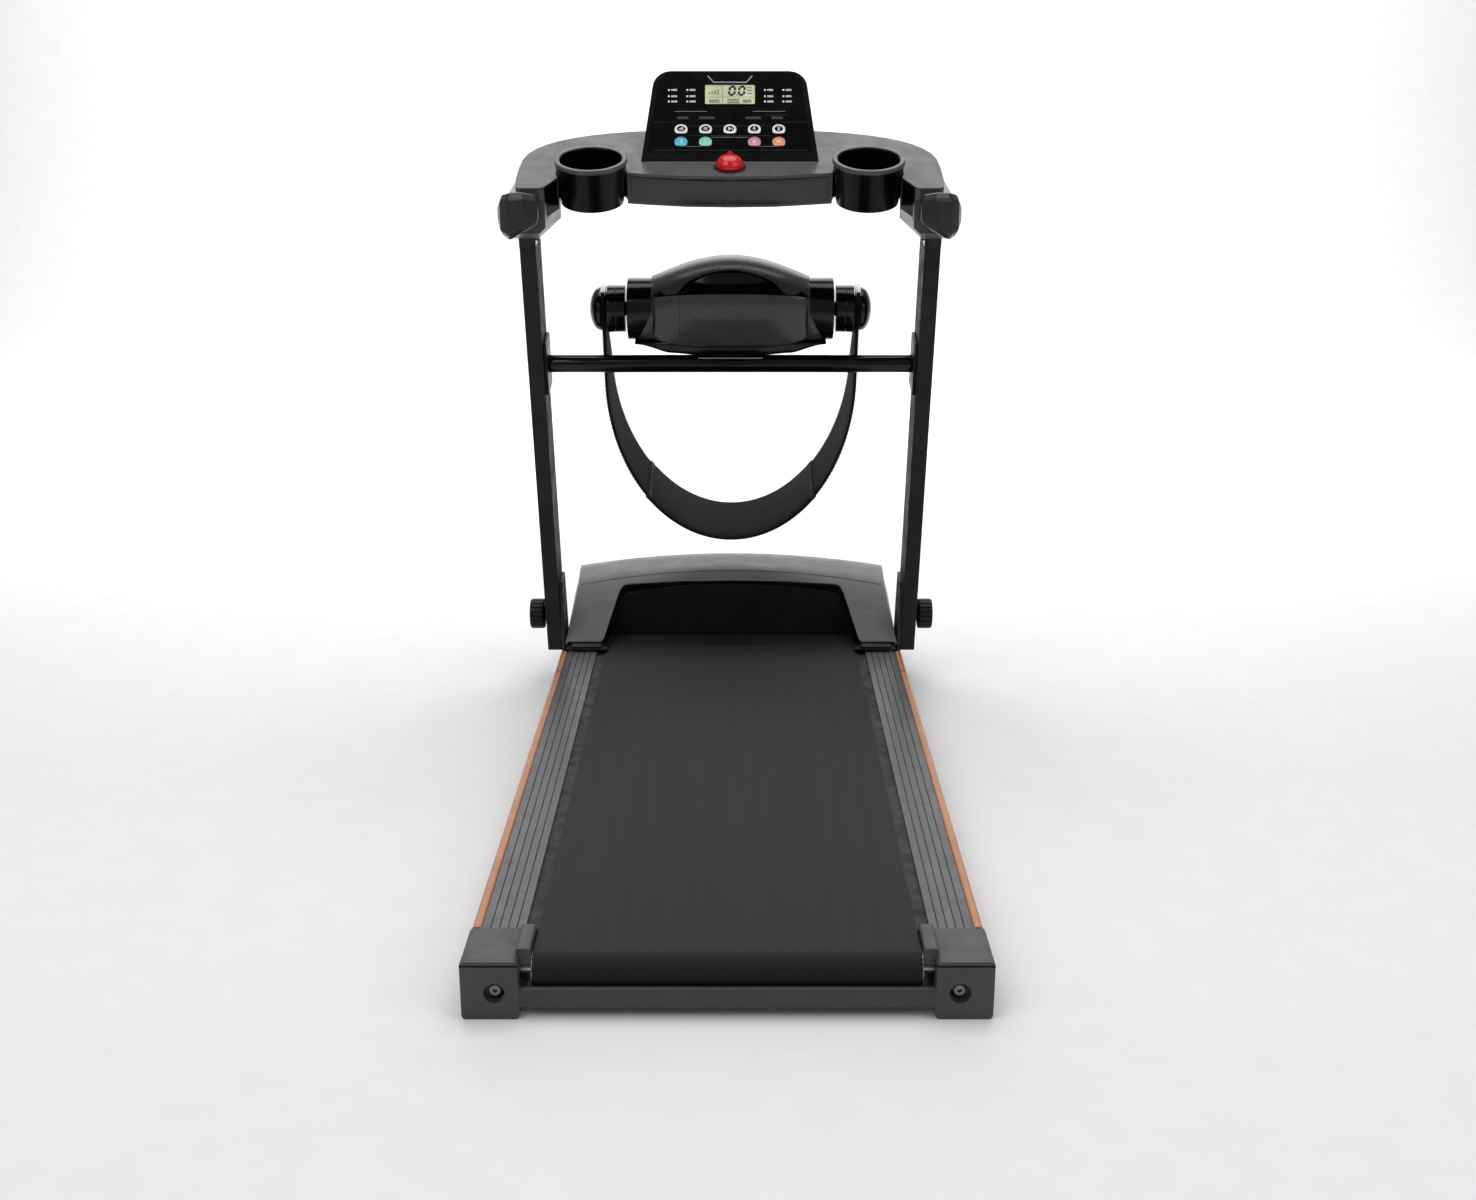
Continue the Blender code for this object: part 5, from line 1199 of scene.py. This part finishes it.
def build_buttons():
    """Oval keys with a pale raised rim round a dark or coloured middle, each with a generic sign."""
    for name, x, up, colour in BUTTONS:
        body, slot = "button_" + name, "button_" + colour
        rings = []
        for height, scale in ((-0.0050, 1.0), (0.0006, 1.0), (0.0011, 0.975), (0.0014, 0.93), (0.0014, 0.86),
                              (0.0011, 0.82), (0.0010, 0.60)):
            outline = arched((x, up), 0.0103 * scale, 0.0079 * scale)
            rings.append(np.hstack([outline, np.full((56, 1), height)]))
        make_piece("key_" + name, put(PANEL, np.stack(rings)), tube_faces(7, 56), FINISH[colour], body,
                   50.0, (body,))
        if colour == "white":
            disc = [ellipse((x, up), 0.0068, 0.0048, 40)]
            many_slabs("key_disc_" + name, disc, 0.0006, 0.00112, PANEL, FINISH["face"], body)
        low, high, ink = (0.0010, 0.00125, "print") if colour == "white" else (0.0008, 0.00122, "white")
        many_slabs("key_sign_" + name, glyph(name, x, up), low, high, PANEL, FINISH[ink], body)


# ---- room ----
def area_light(name, place, aim, size_x, size_y, power):
    """A soft rectangular light that faces a point."""
    light = bpy.data.lights.new(name, "AREA")
    light.shape = "RECTANGLE"
    light.size, light.size_y = size_x, size_y
    light.energy = power
    lamp = bpy.data.objects.new(name, light)
    bpy.context.scene.collection.objects.link(lamp)
    lamp.location = place
    lamp.rotation_euler = (Vector(aim) - Vector(place)).to_track_quat("-Z", "Y").to_euler()


def build_room():
    """Floor that turns up into a backdrop along a quarter circle, soft lights, and the camera."""
    turn = np.linspace(0, pi / 2, 24)
    profile = [(-9.0, 0.0)] + [(4.5 + 2.0 * sin(a), 2.0 - 2.0 * cos(a)) for a in turn] + [(6.5, 9.0)]
    profile = np.array(profile)
    across = np.linspace(-9.0, 9.0, 9)
    points = np.stack([np.repeat(across[None], len(profile), 0), np.repeat(profile[:, :1], 9, 1),
                       np.repeat(profile[:, 1:], 9, 1) - 0.0002], -1)
    mesh = bpy.data.meshes.new("studio_floor")
    mesh.from_pydata(points.reshape(-1, 3).tolist(), [], grid_faces(len(profile), 9))
    mesh.shade_smooth()
    mesh.materials.append(moulded("studio_paper", (0.86, 0.86, 0.86), 0.85, 0.1, 60.0, 0.01, dust=0.0))
    floor = bpy.data.objects.new("studio_floor", mesh)
    bpy.context.scene.collection.objects.link(floor)

    area_light("key_light", (-2.2, -2.6, 3.4), (0.0, 0.0, 0.5), 2.6, 2.0, 42.0)
    area_light("fill_light", (2.6, -2.2, 2.6), (0.0, 0.0, 0.5), 2.4, 2.4, 26.0)
    area_light("top_light", (0.0, 0.2, 3.8), (0.0, 0.0, 0.2), 3.4, 2.6, 68.0)
    area_light("rim_light", (0.0, 3.2, 2.8), (0.0, 0.3, 0.6), 3.6, 1.6, 26.0)
    area_light("backdrop_light", (0.0, 2.6, 3.6), (0.0, 6.0, 1.2), 6.0, 1.5, 260.0)

    world = bpy.data.worlds.new("studio_air")
    world.use_nodes = True
    world.node_tree.nodes["Background"].inputs["Color"].default_value = (0.93, 0.95, 1.0, 1.0)
    world.node_tree.nodes["Background"].inputs["Strength"].default_value = 0.30
    bpy.context.scene.world = world

    lens = bpy.data.cameras.new("camera")
    lens.lens = 40.0
    lens.sensor_width = 36.0
    lens.clip_start, lens.clip_end = 0.05, 60.0
    camera = bpy.data.objects.new("camera", lens)
    camera.location = (0.013, -2.4914, 1.0643)
    camera.rotation_euler = (radians(90.0 - 16.76), 0.0, 0.0)
    bpy.context.scene.collection.objects.link(camera)
    bpy.context.scene.camera = camera
    bpy.context.scene.view_settings.view_transform = "Standard"


keep_cad_nodes()
build_running_belt()
soften_cad_nodes()
build_hood()
build_deck_details()
build_wheels()
build_knobs()
build_cross_tube()
build_massager_body()
build_massager_cap()
build_massager_base()
build_massager_lines()
build_massager_shaft()
build_strap()
build_cups()
build_fascia()
build_arm_linings()
build_key()
build_display()
build_prints()
build_buttons()
build_room()
